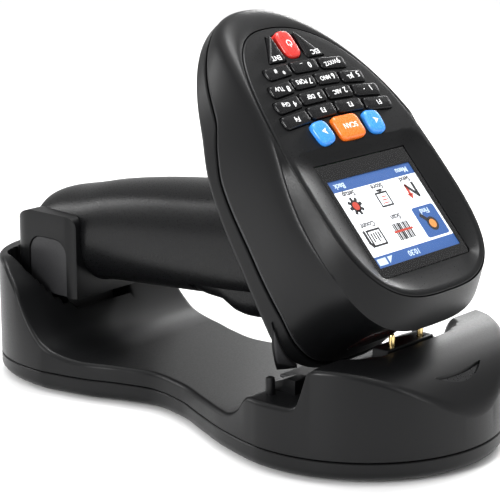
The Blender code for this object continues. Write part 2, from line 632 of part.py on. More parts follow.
def head_inside(head):
    start, end, half = WINDOW
    pieces = [
        ("display_window", (start + GAP, end - GAP), (-half + GAP, half - GAP), (-0.5, -0.1), "window glass"),
        ("display_module", (start + 3.0, end - 1.5), (-half + 1, half - 1), (-6.0, -0.8), "screen"),
        ("main_circuit_board", (-68.0, 6.0), (-22, 22), (-9.6, -8.0), "board green"),
        ("scan_engine", (9.0, 25.0), (-12, 12), (-40.0, -22.0), "panel plastic"),
        ("scan_window", (27.0, 28.4), (-SCAN_WINDOW[0], SCAN_WINDOW[0]), SCAN_WINDOW[1:], "window glass"),
    ]
    for name, u, v, n, coat in pieces:
        in_head(add_object(name, box_bmesh(u, v, n), coat), head)
    mat = [(u, v) for u, v in egg(PANEL_EGG, 56, -3.5) if u < -26]
    mat = sorted(mat, key=lambda p: math.atan2(p[1], p[0] + 50))
    in_head(add_object("keypad_mat", prism_bmesh(mat, -6.9, -5.6), "soft rubber"), head)
    in_head(add_object("beeper", tube_bmesh((-40, 12, -13.2), (-40, 12, -9.9), 5.0), "panel plastic"), head)


# ---------------------------------------------------------------- handle

def handle_rings(grow=0.0, count=32):
    rings = []
    for x, z, tall, wide in HANDLE:
        turns = np.linspace(0, 2 * math.pi, count, endpoint=False)
        across_y = (wide + grow) * np.sign(np.cos(turns)) * np.abs(np.cos(turns)) ** 0.88
        up_z = z + (tall + grow) * np.sign(np.sin(turns)) * np.abs(np.sin(turns)) ** 0.88
        shift = -grow if x == HANDLE[0][0] else 0.0
        rings.append(np.column_stack([np.full(count, x + shift), across_y, up_z]))
    return rings


def head_blank():
    """Solid stand-in for the head's outside, used to end the handle where it meets the head."""
    count = 56
    edge = egg(SHELL_EGG, count, GAP)
    centre = np.array([SHELL_EGG[0], 0.0])
    rings = [np.column_stack([edge, np.full(count, 12.0)]),
             np.column_stack([edge, smooth(SHELL_LOW, edge[:, 0])])]
    for share in (0.985, 0.93, 0.82, 0.62, 0.36, 0.12):
        plan = centre + (edge - centre) * share
        rings.append(np.column_stack([plan, [keel_n(*p) - GAP for p in plan]]))
    return ring_bmesh(rings)


def handle(head):
    grip = add_object("handle_grip", ring_bmesh(handle_rings()), "charcoal plastic")
    cut(grip, "head_blank", head_blank(), head)
    start, end, radius = BATTERY
    slope = (end[1] - start[1]) / (end[0] - start[0])
    rear = (-100.0, 0, start[1] + slope * (-100.0 - start[0]))
    front = (end[0] + 1.5, 0, end[1] + slope * 1.5)
    cut(grip, "battery_cutter", tube_bmesh(rear, front, radius + 0.6, 24))
    x0, x1, half, top = SLOT
    cut(grip, "trigger_slot", box_bmesh((x0, x1), (-half, half), (28, top)))
    cut(grip, "switch_cutter", box_bmesh((6, 22), (-4.5, 4.5), (50, 63)))
    px, pz = PIVOT
    cut(grip, "pin_bore", tube_bmesh((px, -PIN_HALF - GAP, pz), (px, PIN_HALF + GAP, pz), 1.5, 16))
    cell = tube_bmesh((start[0], 0, start[1]), (end[0], 0, end[1]), radius, 24)
    add_object("battery", cell, "cell wrap")


def boot():
    x0, x1, half, z0, z1 = BOOT
    side = [(x0, z0), (x1, z0), (x1, z1 - 4.0), (x1 - 1.2, z1 - 1.2), (x1 - 4.0, z1), (-86.5, z1),
            (-90.0, 61.6), (-93.4, 58.6), (-95.6, 54.0), (x0, 49.0)]
    made = add_object("handle_boot", side_prism_bmesh(side, half), "charcoal plastic")
    plan = rounded([(x0, -half), (x1 + 5, -half), (x1 + 5, half), (x0, half)], 9.0, 6)
    cut(made, "boot_plan", prism_bmesh(plan, z0 - 5, z1 + 5), operation="INTERSECT")
    soften(made, 0.9)
    cut(made, "handle_blank", ring_bmesh(handle_rings(GAP)))
    arch = [(-86.6, z0 - 1), (-67.2, z0 - 1), (-67.2, 53.2), (-86.6, 53.2)]
    cutters = [shifted(side_prism_bmesh(round_top(arch, GAP), 1.3), y) for y in (-half, half)]
    cut(made, "pad_cutters", joined(cutters))
    for name, y in (("boot_grip_pad_right", -half + 0.65), ("boot_grip_pad_left", half - 0.65)):
        pad = [(-86.6, z0 + 0.4), (-67.2, z0 + 0.4), (-67.2, 53.2), (-86.6, 53.2)]
        add_object(name, shifted(side_prism_bmesh(round_top(pad), 0.35), y), "soft rubber")


def round_top(corners, grow=0.0):
    """Arch: square below and rounded above."""
    (x0, z0), (x1, _), (_, z1), _ = corners
    x0, x1, z1, radius = x0 - grow, x1 + grow, z1 + grow, 6.0
    turns = np.linspace(0, math.pi / 2, 6)
    right = [(x1 - radius + radius * math.cos(a), z1 - radius + radius * math.sin(a)) for a in turns]
    left = [(x0 + radius - radius * math.sin(a), z1 - radius + radius * math.cos(a)) for a in turns]
    return [(x0, z0), (x1, z0)] + right + left


def shifted(bm, y):
    bmesh.ops.translate(bm, vec=(0, y, 0), verts=bm.verts)
    return bm


def spring_bmesh(x, z0, z1, radius, wire, turns):
    """Coil spring standing along Z."""
    rings = []
    steps = turns * 12
    for i in range(steps + 1):
        a = 2 * math.pi * i / 12
        z = z0 + wire + (z1 - z0 - 2 * wire) * i / steps
        middle = Vector((x + radius * math.cos(a), radius * math.sin(a), z))
        out = Vector((math.cos(a), math.sin(a), 0))
        rings.append([middle + out * wire * math.cos(b) + Vector((0, 0, 1)) * wire * math.sin(b)
                      for b in np.linspace(0, 2 * math.pi, 6, endpoint=False)])
    return ring_bmesh(rings)


def trigger_envelope(count=18):
    """Cross-sections of the trigger: upright above, rounded below."""
    rings = []
    start, end = TRIGGER_LINE[0][0] - 0.2, TRIGGER_LINE[-1][0] + 0.2
    for x in np.linspace(start, end, 18):
        low = float(smooth(TRIGGER_LINE, x))
        turn = np.linspace(0, math.pi, count)
        y = -TRIGGER_HALF * np.sign(np.cos(turn)) * np.abs(np.cos(turn)) ** 0.75
        z = TRIGGER_TOP - (TRIGGER_TOP - low) * np.sin(turn) ** 0.75
        below = [(x, across_y, up_z) for across_y, up_z in zip(y, z)]
        rings.append([(x, -TRIGGER_HALF, TRIGGER_LUG + 1)] + below + [(x, TRIGGER_HALF, TRIGGER_LUG + 1)])
    return ring_bmesh(rings)


def trigger():
    px, pz = PIVOT
    start, end = TRIGGER_LINE[0][0], TRIGGER_LINE[-1][0]
    side = [(start, 30.0), (end, 30.0), (end, TRIGGER_LUG), (20.5, TRIGGER_LUG), (16.5, TRIGGER_TOP),
            (start, TRIGGER_TOP)]
    solid = side_prism_bmesh(side, TRIGGER_HALF + 1)
    made = add_object("trigger", solid, "charcoal plastic", origin=(px, 0, pz))
    cut(made, "trigger_envelope", trigger_envelope(), operation="INTERSECT")
    soften(made, 0.5)
    cut(made, "trigger_bore", tube_bmesh((px, -16, pz), (px, 16, pz), 1.6, 16))
    add_object("trigger_pin", tube_bmesh((px, -PIN_HALF, pz), (px, PIN_HALF, pz), 1.25, 16), "steel")
    add_object("trigger_spring", spring_bmesh(-1.0, 50.2, 55.8, 2.2, 0.35, 4), "steel")
    switch = [(8, 56.2), (12, 56.2), (12, 51.2), (15, 51.2), (15, 56.2), (20, 56.2), (20, 62), (8, 62)]
    add_object("trigger_switch", side_prism_bmesh(switch, 3.2), "panel plastic")


def main():
    for obj in list(bpy.data.objects):
        bpy.data.objects.remove(obj)
    bpy.context.scene.unit_settings.scale_length = 1.0
    head = bpy.data.objects.new("head_frame", None)
    head.location = HEAD_ORIGIN * MM
    head.rotation_euler = (0, TILT, 0)
    bpy.context.scene.collection.objects.link(head)
    cradle_shell()
    cradle_base()
    cradle_fittings()
    upper_shell(head)
    face_panel(head)
    keys(head)
    lower_shell(head)
    head_inside(head)
    handle(head)
    boot()
    trigger()


main()
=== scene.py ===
"""Looks of a cordless stock-taking scanner that lies nose down in its charging cradle.

Sizes are in millimetres and become metres when a mesh is made. The head is drawn in its own frame: u towards
the nose, v across and n out of the display, with its origin at the middle of the display.
"""

import json
import math

import bmesh
import bpy
import numpy as np
from bpy.props import FloatProperty, FloatVectorProperty, IntProperty, PointerProperty
from mathutils import Matrix, Vector

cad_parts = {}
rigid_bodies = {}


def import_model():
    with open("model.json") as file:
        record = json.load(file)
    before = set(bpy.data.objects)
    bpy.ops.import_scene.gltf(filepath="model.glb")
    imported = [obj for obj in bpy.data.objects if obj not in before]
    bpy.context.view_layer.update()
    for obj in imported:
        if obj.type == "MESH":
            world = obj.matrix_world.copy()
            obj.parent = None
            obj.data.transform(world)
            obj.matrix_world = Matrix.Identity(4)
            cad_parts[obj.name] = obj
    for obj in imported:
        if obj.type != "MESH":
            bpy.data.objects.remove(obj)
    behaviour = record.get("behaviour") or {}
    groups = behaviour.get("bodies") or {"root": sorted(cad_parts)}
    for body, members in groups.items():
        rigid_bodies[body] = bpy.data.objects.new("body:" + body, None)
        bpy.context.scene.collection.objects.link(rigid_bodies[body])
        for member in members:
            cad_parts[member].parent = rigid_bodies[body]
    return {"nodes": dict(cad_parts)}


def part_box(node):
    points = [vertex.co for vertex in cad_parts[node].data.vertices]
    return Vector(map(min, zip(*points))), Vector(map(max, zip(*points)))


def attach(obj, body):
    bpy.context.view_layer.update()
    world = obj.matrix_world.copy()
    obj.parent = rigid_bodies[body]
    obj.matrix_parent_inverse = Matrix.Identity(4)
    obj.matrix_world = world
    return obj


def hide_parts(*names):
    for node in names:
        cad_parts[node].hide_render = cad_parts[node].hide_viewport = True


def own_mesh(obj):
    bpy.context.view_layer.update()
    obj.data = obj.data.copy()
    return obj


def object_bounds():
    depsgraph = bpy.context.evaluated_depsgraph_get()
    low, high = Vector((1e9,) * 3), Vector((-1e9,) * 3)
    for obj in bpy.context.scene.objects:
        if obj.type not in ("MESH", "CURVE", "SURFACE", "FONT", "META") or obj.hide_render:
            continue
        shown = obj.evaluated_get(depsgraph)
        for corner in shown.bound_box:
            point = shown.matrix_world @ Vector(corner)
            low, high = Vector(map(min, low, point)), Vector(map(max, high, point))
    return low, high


bl_info = {
    "name": "Scanner and Charging Cradle",
    "version": (1, 0, 0),
    "blender": (4, 5, 0),
    "location": "3D View > Sidebar > Scanner",
    "description": "Makes the visible pieces of a stock-taking scanner and its charging cradle",
    "category": "Object",
}

for leftover in list(bpy.data.objects):
    bpy.data.objects.remove(leftover)
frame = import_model()
CAD_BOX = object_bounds()

MM = 0.001
GAP = 0.3                                  # clearance between two pieces that touch
CHAMFER = 0.35                             # small broken edge on the moulded shells

# Cradle
END_X = CAD_BOX[1].x / MM                  # half of the overall length
SPLIT_Z = 8.0                              # joint between the base plate and the top shell
REAR_LOBE = (-62.8, 43.4, 40.7, 2.35)      # centre x, length, half width, roundness
FRONT_LOBE = (56.2, 50.0)                  # centre x, radius
SIDE_LINE = [(-62.8, 40.7), (-44.9, 37.2), (-29.7, 31.8), (-16.0, 28.6), (-0.2, 31.5),
             (15.3, 38.0), (30.1, 44.2), (42.4, 47.9), (50.0, 49.6)]
TOP_LINE = [(-106.2, 46.3), (-90.0, 46.3), (-85.8, 45.0), (-80.8, 41.0), (-76.4, 36.6), (-72.6, 30.5),
            (-67.8, 23.7), (-62.2, 18.4), (-57.5, 16.1), (-50.0, 14.7), (-44.0, 14.3), (31.0, 14.3),
            (35.5, 15.3), (41.0, 19.0), (44.0, 23.0), (46.5, 24.0), (63.5, 24.2), (67.6, 26.6),
            (69.4, 35.0), (71.6, 38.4), (77.2, 38.6), (83.7, 37.9), (90.6, 35.8), (94.8, 33.6),
            (98.6, 30.7), (101.8, 27.4), (104.2, 24.0), (106.2, 20.0)]
WALL = 2.4
POCKET = (-88.0, 10.5, 18.7, 30.0)         # centre x, length to the rear, length to the front, half width
POCKET_FLOOR = 16.0
SEAT = (60.0, 20.5, 33.5)                  # centre x, length to the front, half width
SEAT_FLOOR = 24.0
FOOT_PLACES = [(-72.0, 24.0), (-72.0, -24.0), (62.0, 32.0), (62.0, -32.0)]
SCREW_PLACES = [(-50.0, 22.0), (-50.0, -22.0), (30.0, 30.0), (30.0, -30.0)]
POST = (49.7, 41.0, 1.6, 30.0)             # x, y, radius and top of the two guide posts
PIN_X = 75.0
PIN_Y = 8.0

# Scanner head
TILT = math.radians(48.4)
HEAD = Matrix.Translation((69.7, 0.0, 81.6)) @ Matrix.Rotation(TILT, 4, "Y")
# widest u, length to keys and to nose, half width, roundness
PANEL_EGG = (-12.0, 67.5, 43.5, 37.0, 2.4, 3.0)
SHELL_EGG = (-12.0, 79.0, 41.0, 39.9, 2.4, 3.0)
SEAM_LINE = [(-91.0, -10.0), (-70.0, -13.5), (-56.0, -15.0), (-46.0, -20.5), (-36.0, -25.0),
             (-8.0, -29.5), (10.0, -33.5), (22.0, -40.5), (29.0, -46.5)]
SHELL_LOW = [(-91.0, -14.5), (-82.0, -18.0), (-67.0, -22.0), (-55.0, -25.0), (-42.0, -30.0),
             (-25.0, -34.0), (-5.0, -38.0), (8.0, -42.0), (18.0, -47.0), (29.0, -51.0)]
KEEL_LINE = [(-91.0, -14.5), (-75.0, -25.0), (-60.0, -33.0), (-45.0, -39.0), (-30.0, -43.0),
             (-12.0, -45.5), (6.0, -47.0), (20.0, -49.8), (29.0, -51.0)]
ISLAND_LINE = [(-34.0, 1.5), (-27.0, 0.0), (-20.0, -2.0), (-8.0, -4.5), (10.0, -6.0), (20.0, -7.5),
               (27.0, -9.0), (31.8, -10.5)]
FLARE_LINE = [(-79.8, 0.1), (-60.0, 0.15), (-40.0, 0.8), (-25.0, 1.6), (-8.0, 2.4), (10.0, 3.4),
              (22.0, 4.6), (31.8, 6.0)]     # how far the upper shell's collar stands out from the panel
BULGE_LINE = [(-79.8, 0.0), (-50.0, 0.0), (-25.0, 0.8), (0.0, 1.4), (15.0, 1.1), (28.0, 0.0), (31.8, 0.0)]
PANEL_TOP = 1.8
PANEL_SKIN = 2.2
PANEL_BEND = 0.0022
WINDOW = (-23.3, 21.0, 24.8)               # display window: u from, u to, half width
# frame round the window: u from, set in from the panel's edge, power
DISH = (-28.4, 1.9, 1.4)
PICTURE = (33.8, 45.1)                     # lit picture of the display, along u and across
PICTURE_N = -0.72                          # height of the picture
SCAN_WINDOW = (14.7, -37.7, -22.3)         # half width, n from, n to
SIDE_MARK = [(12.6, -40.3), (24.0, -49.0), (20.4, -51.2)]   # three-cornered pad low on each side: u, n

SIDE_FRAME = [(10.5, -39.1), (21.9, -54.4), (24.8, -49.9)]

# Keys: name, u, v, size along u, size along v, turn in degrees
KEY_ROWS = [
    ("key_star", -59.7, -14.6, 4.7, 12.6, 5.0), ("key_0", -60.3, 0.0, 4.7, 13.0, 0.0),
    ("key_9", -59.7, 14.6, 4.7, 12.6, -5.0),
    ("key_8", -52.6, -19.0, 4.7, 11.3, 6.0), ("key_7", -53.9, -6.3, 4.7, 11.3, 2.0),
    ("key_6", -53.9, 6.3, 4.7, 11.3, -2.0), ("key_5", -52.6, 19.0, 4.7, 11.3, -6.0),
    ("key_4", -46.3, -21.1, 4.8, 12.7, 6.0), ("key_3", -47.5, -7.1, 4.8, 12.7, 2.0),
    ("key_2", -47.5, 7.1, 4.8, 12.7, -2.0), ("key_1", -46.3, 21.1, 4.8, 12.7, -6.0),
    ("key_F4", -40.2, -22.2, 4.9, 13.3, 5.0), ("key_F3", -41.6, -7.4, 4.9, 13.3, 2.0),
    ("key_F2", -41.6, 7.4, 4.9, 13.3, -2.0), ("key_F1", -40.2, 22.2, 4.9, 13.3, -5.0),
]
BIG_KEYS = [
    ("key_right", -33.4, -13.9, 9.0, 8.2, 6.0), ("key_scan", -33.6, 0.0, 9.2, 13.2, 0.0),
    ("key_left", -33.4, 13.9, 9.0, 8.2, -6.0), ("key_power", -70.3, 0.0, 11.2, 8.0, 0.0),
]
CORNER_KEY = [(-75.3, 6.2), (-64.0, 5.6), (-64.0, 14.6)]     # enter and escape keys, mirrored
BIG_RADIUS = {"key_power": 3.6, "key_left": 3.2, "key_right": 3.2, "key_scan": 2.6}
LEGENDS = {
    "key_1": ("1", "-"), "key_2": ("2", "ABC"), "key_3": ("3", "DEF"), "key_4": ("4", "GHI"),
    "key_5": ("5", "JKL"), "key_6": ("6", "MNO"), "key_7": ("7", "PQRS"), "key_8": ("8", "TUV"),
    "key_9": ("9", "WXYZ"), "key_0": ("0", "_"), "key_star": ("*", "#"), "key_F1": ("F1", ""),
    "key_F2": ("F2", ""), "key_F3": ("F3", ""), "key_F4": ("F4", ""), "key_enter": ("ENT", ""),
    "key_escape": ("ESC", ""), "key_scan": ("SCAN", ""),
}

# Handle: x, middle z, half height, half width
HANDLE = [(-94.0, 48.0, 11.0, 12.5), (-92.6, 49.0, 15.0, 15.5), (-89.0, 50.4, 16.9, 17.2),
          (-81.0, 51.8, 18.2, 17.9), (-72.0, 53.3, 18.6, 18.0), (-56.0, 56.2, 19.4, 18.2),
          (-34.0, 58.8, 20.4, 18.6), (-12.0, 60.9, 20.9, 19.0), (14.0, 63.7, 21.4, 19.6),
          (52.0, 67.8, 22.0, 20.0)]
HANDLE_BULGE = 0.88                        # below 1 the handle's cross-section is squarer than an ellipse
BOOT = (-96.3, -62.8, 22.0, 31.5, 63.0)    # x from, x to, half width, z from, z to
BATTERY = ((-84.0, 50.6), (-20.0, 59.7), 9.2)
PIVOT = (24.0, 52.5)                       # x and z of the trigger's pin
TRIGGER_LINE = [(-11.0, 40.9), (-8.0, 40.0), (-4.0, 39.7), (0.0, 39.3), (3.0, 37.6), (6.0, 35.9),
                (11.0, 35.2), (17.0, 35.6), (22.0, 37.8), (26.0, 41.0), (28.3, 46.0)]
TRIGGER_TOP = 50.0
TRIGGER_HALF = 13.0
SLOT = (-12.4, 30.0, 13.6, 56.0)           # x from, x to, half width, top


# ---------------------------------------------------------------- sizes and colours a user may change

class CradleSettings(bpy.types.PropertyGroup):
    """Sizes of the cradle's moulding."""
    edge_radius: FloatProperty(name="Edge radius", description="Rounding of the upper edge",
                               default=0.0017, min=0.0005, max=0.004, unit="LENGTH")
    rows: IntProperty(name="Rows", description="Rows of faces across the cradle", default=113, min=17)
    step: FloatProperty(name="Step", description="Longest face along the cradle",
                        default=0.0013, min=0.0005, unit="LENGTH")


class ScannerSettings(bpy.types.PropertyGroup):
    """Sizes of the scanner's small details."""
    key_rise: FloatProperty(name="Key rise", description="Height of a black key above the panel",
                            default=0.0013, min=0.0, unit="LENGTH")
    big_key_rise: FloatProperty(name="Coloured key rise",
                                description="Height of a coloured key above the panel",
                                default=0.0019, min=0.0, unit="LENGTH")
    legend_size: FloatProperty(name="Legend size", description="Height of the capitals on the keys",
                               default=0.0027, min=0.001, unit="LENGTH")
    ring: IntProperty(name="Faces round", description="Faces round the head and the handle", default=256,
                      min=48)


class FinishSettings(bpy.types.PropertyGroup):
    """Colours of the mouldings, keys and picture."""
    body: FloatVectorProperty(name="Body", description="Charcoal plastic", subtype="COLOR",
                              default=(0.0030, 0.0031, 0.0034))
    red: FloatVectorProperty(name="Power key", description="Red plastic", subtype="COLOR",
                             default=(0.56, 0.022, 0.016))
    blue: FloatVectorProperty(name="Arrow keys", description="Blue plastic", subtype="COLOR",
                              default=(0.035, 0.24, 0.72))
    orange: FloatVectorProperty(name="Scan key", description="Orange plastic", subtype="COLOR",
                                default=(0.84, 0.155, 0.012))
    picture_blue: FloatVectorProperty(name="Picture blue", description="Bars of the picture", subtype="COLOR",
                                      default=(0.022, 0.074, 0.235))


class StageSettings(bpy.types.PropertyGroup):
    """Camera and lights."""
    azimuth: FloatProperty(name="Azimuth", description="Turn of the camera round the cradle",
                           default=math.radians(40.8), subtype="ANGLE")
    elevation: FloatProperty(name="Elevation", description="Height of the camera above the horizon",
                             default=math.radians(14.3), subtype="ANGLE")
    distance: FloatProperty(name="Distance", description="Camera to target", default=0.681, unit="LENGTH")
    lens: FloatProperty(name="Lens", description="Focal length in millimetres", default=136.8)
    key_power: FloatProperty(name="Key light", description="Watts of the large light", default=10.0)


# ---------------------------------------------------------------- curves

def smooth(knots, at):
    """Smooth line through the knots that never overshoots them."""
    xs = np.array([k[0] for k in knots])
    ys = np.array([k[1] for k in knots])
    steps = np.diff(xs)
    slopes = np.diff(ys) / steps
    tangents = np.zeros(len(xs))
    for i in range(1, len(xs) - 1):
        if slopes[i - 1] * slopes[i] > 0:
            tangents[i] = 2 * slopes[i - 1] * slopes[i] / (slopes[i - 1] + slopes[i])
    tangents[0] = slopes[0]
    tangents[-1] = slopes[-1]
    at = np.clip(np.asarray(at, float), xs[0], xs[-1])
    i = np.clip(np.searchsorted(xs, at) - 1, 0, len(steps) - 1)
    t = (at - xs[i]) / steps[i]
    return ((1 + 2 * t) * (1 - t) ** 2 * ys[i] + t * (1 - t) ** 2 * steps[i] * tangents[i]
            + t * t * (3 - 2 * t) * ys[i + 1] + t * t * (t - 1) * steps[i] * tangents[i + 1])


def fade(t):
    t = np.clip(t, 0.0, 1.0)
    return t * t * (3 - 2 * t)


def power_round(values, power):
    return np.sign(values) * np.abs(values) ** power


def egg(shape, count, grow=0.0):
    """Outline of the head: a rounder half towards the keys and a squarer one towards the nose."""
    middle, to_keys, to_nose, half, round_keys, round_nose = shape
    angle = np.linspace(0, 2 * math.pi, count, endpoint=False) + math.pi / count
    c, s = np.cos(angle), np.sin(angle)
    power = np.where(c > 0, round_nose, round_keys)
    reach = np.where(c > 0, to_nose + grow, to_keys + grow)
    u = middle + reach * power_round(c, 2 / power)
    v = (half + grow) * power_round(s, 2 / power)
    return np.stack([u, v], 1)


def panel_n(u):
    """Height of the face: flat by the display, falling away gently over the keypad."""
    return PANEL_TOP - PANEL_BEND * np.minimum(np.asarray(u, float) + 30.0, 0.0) ** 2


def island_n(u):
    """Height of the collar's outer edge."""
    return np.where(u < -34.0, panel_n(u) - 0.3, smooth(ISLAND_LINE, u))


def keel_n(plan):
    """Underside of the head at each (u, v) point."""
    middle, to_keys, to_nose, half, round_keys, round_nose = SHELL_EGG
    u, v = plan[:, 0], plan[:, 1]
    power = np.where(u > middle, round_nose, round_keys)
    reach = np.where(u > middle, to_nose, to_keys)
    share = (np.abs((u - middle) / reach) ** power + np.abs(v / half) ** power) ** (1 / power)
    rim = middle + (u - middle) / np.maximum(share, 1e-6)
    blend = np.minimum(share, 1.0) ** 3
    return smooth(SHELL_LOW, rim) * blend + smooth(KEEL_LINE, u) * (1 - blend)


def side_y(x):
    """Half width of the cradle at x."""
    x = np.asarray(x, float)
    rear = np.clip((REAR_LOBE[0] - x) / REAR_LOBE[1], 0, 1)
    rear = REAR_LOBE[2] * (1 - rear ** REAR_LOBE[3]) ** (1 / REAR_LOBE[3])
    front = np.sqrt(np.maximum(FRONT_LOBE[1] ** 2 - (x - FRONT_LOBE[0]) ** 2, 0))
    waist = smooth(SIDE_LINE, x)
    return np.where(x < REAR_LOBE[0], rear, np.where(x > SIDE_LINE[-1][0], front, waist))


def stations(ends, step):
    """Places along X, closer together round both ends."""
    turn = np.linspace(0, math.pi / 2, ends + 1)[:-1]
    rear = REAR_LOBE[0] - REAR_LOBE[1] * np.cos(turn) ** (2 / REAR_LOBE[3])
    front = FRONT_LOBE[0] + FRONT_LOBE[1] * np.cos(turn)
    found = sorted(np.concatenate([rear, front]))
    for a, b in zip(found[:-1], found[1:]):
        if b - a > step * 1.2:
            found += list(np.linspace(a, b, round((b - a) / step) + 1)[1:-1])
    return np.array(sorted(found))


def outline_distance(x, y):
    """Distance of each point to the outline of the cradle."""
    xs = stations(90, 1.0)
    line = np.column_stack([xs, side_y(xs)])
    nearest = np.full(len(x), 1e9)
    for (ax, ay), (dx, dy) in zip(line, np.diff(line, axis=0)):
        share = np.clip(((x - ax) * dx + (np.abs(y) - ay) * dy) / (dx * dx + dy * dy), 0, 1)
        nearest = np.minimum(nearest, (x - ax - share * dx) ** 2 + (np.abs(y) - ay - share * dy) ** 2)
    return np.sqrt(nearest)


def cradle_top(x, y, radius):
    """Height of the cradle's upper face at each point, its outer edge rounded by radius."""
    distance = outline_distance(x, y)
    y = np.abs(y)
    z = smooth(TOP_LINE, x)
    reach = np.where(x < POCKET[0], POCKET[1], POCKET[2])
    share = (np.abs((x - POCKET[0]) / reach) ** 2.5 + (y / POCKET[3]) ** 2.5) ** 0.4
    z = np.where(share < 1, POCKET_FLOOR + (z - POCKET_FLOOR) * fade((share - 0.9) / 0.1), z)
    ahead = np.maximum(x - SEAT[0], 0) / SEAT[1]
    share = (ahead ** 3.5 + (y / SEAT[2]) ** 3.5) ** (1 / 3.5)
    inside = (x > SEAT[0] - 1) & (share < 1) & (z > SEAT_FLOOR)
    z = np.where(inside, SEAT_FLOOR + (z - SEAT_FLOOR) * fade((share - 0.72) / 0.28), z)
    depth = np.minimum(distance, radius)
    return z - (radius - np.sqrt(np.maximum(radius ** 2 - (radius - depth) ** 2, 0)))


def rounded(corners, radius, steps=8):
    """Rounds each corner of an outline."""
    points = []
    count = len(corners)
    for i in range(count):
        before, corner, after = (Vector(corners[(i + k) % count][:2]) for k in (-1, 0, 1))
        reach = min(radius, (before - corner).length / 2.01, (after - corner).length / 2.01)
        start = corner + (before - corner).normalized() * reach
        end = corner + (after - corner).normalized() * reach
        for t in np.linspace(0, 1, steps + 1):
            points.append(tuple(start * (1 - t) ** 2 + corner * 2 * t * (1 - t) + end * t * t))
    return points


def rectangle(x0, x1, y0, y1):
    return [(x0, y0), (x1, y0), (x1, y1), (x0, y1)]


def circle(radius, count=32, x=0.0, y=0.0):
    turns = np.linspace(0, 2 * math.pi, count, endpoint=False)
    return [(x + radius * math.cos(a), y + radius * math.sin(a)) for a in turns]


# ---------------------------------------------------------------- meshes

def skin(rows, wrap=False):
    """Faces over rings of equal length: closed into a loop, or with a fan over each end."""
    rows = np.asarray(rows, float)
    levels, count = rows.shape[:2]
    points = [tuple(p) for p in rows.reshape(-1, 3)]
    faces = []
    for i in range(levels if wrap else levels - 1):
        low, high = i * count, (i + 1) % levels * count
        faces += [(low + j, low + (j + 1) % count, high + (j + 1) % count, high + j) for j in range(count)]
    if not wrap:
        points += [tuple(rows[0].mean(0)), tuple(rows[-1].mean(0))]
        last = (levels - 1) * count
        faces += [((j + 1) % count, j, len(points) - 2) for j in range(count)]
        faces += [(last + j, last + (j + 1) % count, len(points) - 1) for j in range(count)]
    return points, faces


def prism(outline, low, high, axis="Z"):
    """Solid over an outline: (x, y) raised along Z, or (x, z) spread along Y."""
    count = len(outline)
    points = []
    for level in (low, high):
        points += [(p[0], p[1], level) if axis == "Z" else (p[0], level, p[1]) for p in outline]
    faces = [tuple(range(count)), tuple(range(count, 2 * count))]
    faces += [(j, (j + 1) % count, count + (j + 1) % count, count + j) for j in range(count)]
    return points, faces


def box(x, y, z):
    return prism(rectangle(*x, *y), *z)


def tube(start, end, radius, count=48, profile=((0.0, 1.0), (1.0, 1.0))):
    """Turned solid from start to end. The profile holds shares of its length and radius."""
    start, end = Vector(start), Vector(end)
    turn = (end - start).to_track_quat("Z", "Y").to_matrix()
    turns = np.linspace(0, 2 * math.pi, count, endpoint=False)
    rows = []
    for along, wide in profile:
        middle = start.lerp(end, along)
        rows.append([middle + turn @ Vector((radius * wide * math.cos(a), radius * wide * math.sin(a), 0))
                     for a in turns])
    return skin([[tuple(p) for p in row] for row in rows])


def solid(name, shapes, coat=None, place=None):
    """Object out of one shape or several, each drawn in millimetres."""
    if isinstance(shapes, tuple):
        shapes = [shapes]
    points, faces = [], []
    for some_points, some_faces in shapes:
        faces += [tuple(i + len(points) for i in face) for face in some_faces]
        points += list(some_points)
    mesh = bpy.data.meshes.new(name)
    mesh.from_pydata([tuple(map(float, p)) for p in points], [], faces)
    bm = bmesh.new()
    bm.from_mesh(mesh)
    bmesh.ops.remove_doubles(bm, verts=bm.verts, dist=1e-4)
    bmesh.ops.recalc_face_normals(bm, faces=bm.faces)
    bmesh.ops.transform(bm, matrix=Matrix.Scale(MM, 4) @ (place or Matrix.Identity(4)), verts=bm.verts)
    bm.to_mesh(mesh)
    bm.free()
    if coat:
        mesh.materials.append(coat)
    made = bpy.data.objects.new(name, mesh)
    bpy.context.scene.collection.objects.link(made)
    return made


def shade(obj, angle=32):
    obj.data.shade_smooth()
    obj.data.set_sharp_from_angle(angle=math.radians(angle))
    return obj


def settle(obj, helpers=(), angle=32):
    """Turns the modifiers' result into the object's own mesh and removes the helpers."""
    graph = bpy.context.evaluated_depsgraph_get()
    mesh = bpy.data.meshes.new_from_object(obj.evaluated_get(graph))
    obj.modifiers.clear()
    obj.data = mesh
    for helper in helpers:
        bpy.data.objects.remove(helper)
    return shade(obj, angle)


def carve(obj, shapes, operation="DIFFERENCE", place=None, angle=32):
    """Cuts shapes out of an object, or joins them to it."""
    helper = solid("carving", shapes, place=place)
    step = obj.modifiers.new("carve", "BOOLEAN")
    step.object = helper
    step.operation = operation
    return settle(obj, [helper], angle)


def soften(obj, width, segments=4, angle=32):
    """Rounds the sharp edges of an object by width millimetres."""
    step = obj.modifiers.new("soften", "BEVEL")
    step.width = width * MM
    step.segments = segments
    step.limit_method = "ANGLE"
    step.angle_limit = math.radians(angle)
    return settle(obj)


def fit(obj, body, slot=None, *nodes):
    """Gives a finished piece its body and hides the frame nodes that it stands for. The slot argument is not
    used.
    """
    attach(obj, body)
    if nodes:
        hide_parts(*nodes)
    return obj


# ---------------------------------------------------------------- node trees for geometry

def new_tree(name, inputs):
    tree = bpy.data.node_groups.new(name, "GeometryNodeTree")
    tree.interface.new_socket("Geometry", in_out="INPUT", socket_type="NodeSocketGeometry")
    for label, kind in inputs:
        tree.interface.new_socket(label, in_out="INPUT", socket_type=kind)
    tree.interface.new_socket("Geometry", in_out="OUTPUT", socket_type="NodeSocketGeometry")
    entry = tree.nodes.new("NodeGroupInput")
    leave = tree.nodes.new("NodeGroupOutput")
    return tree, entry, leave


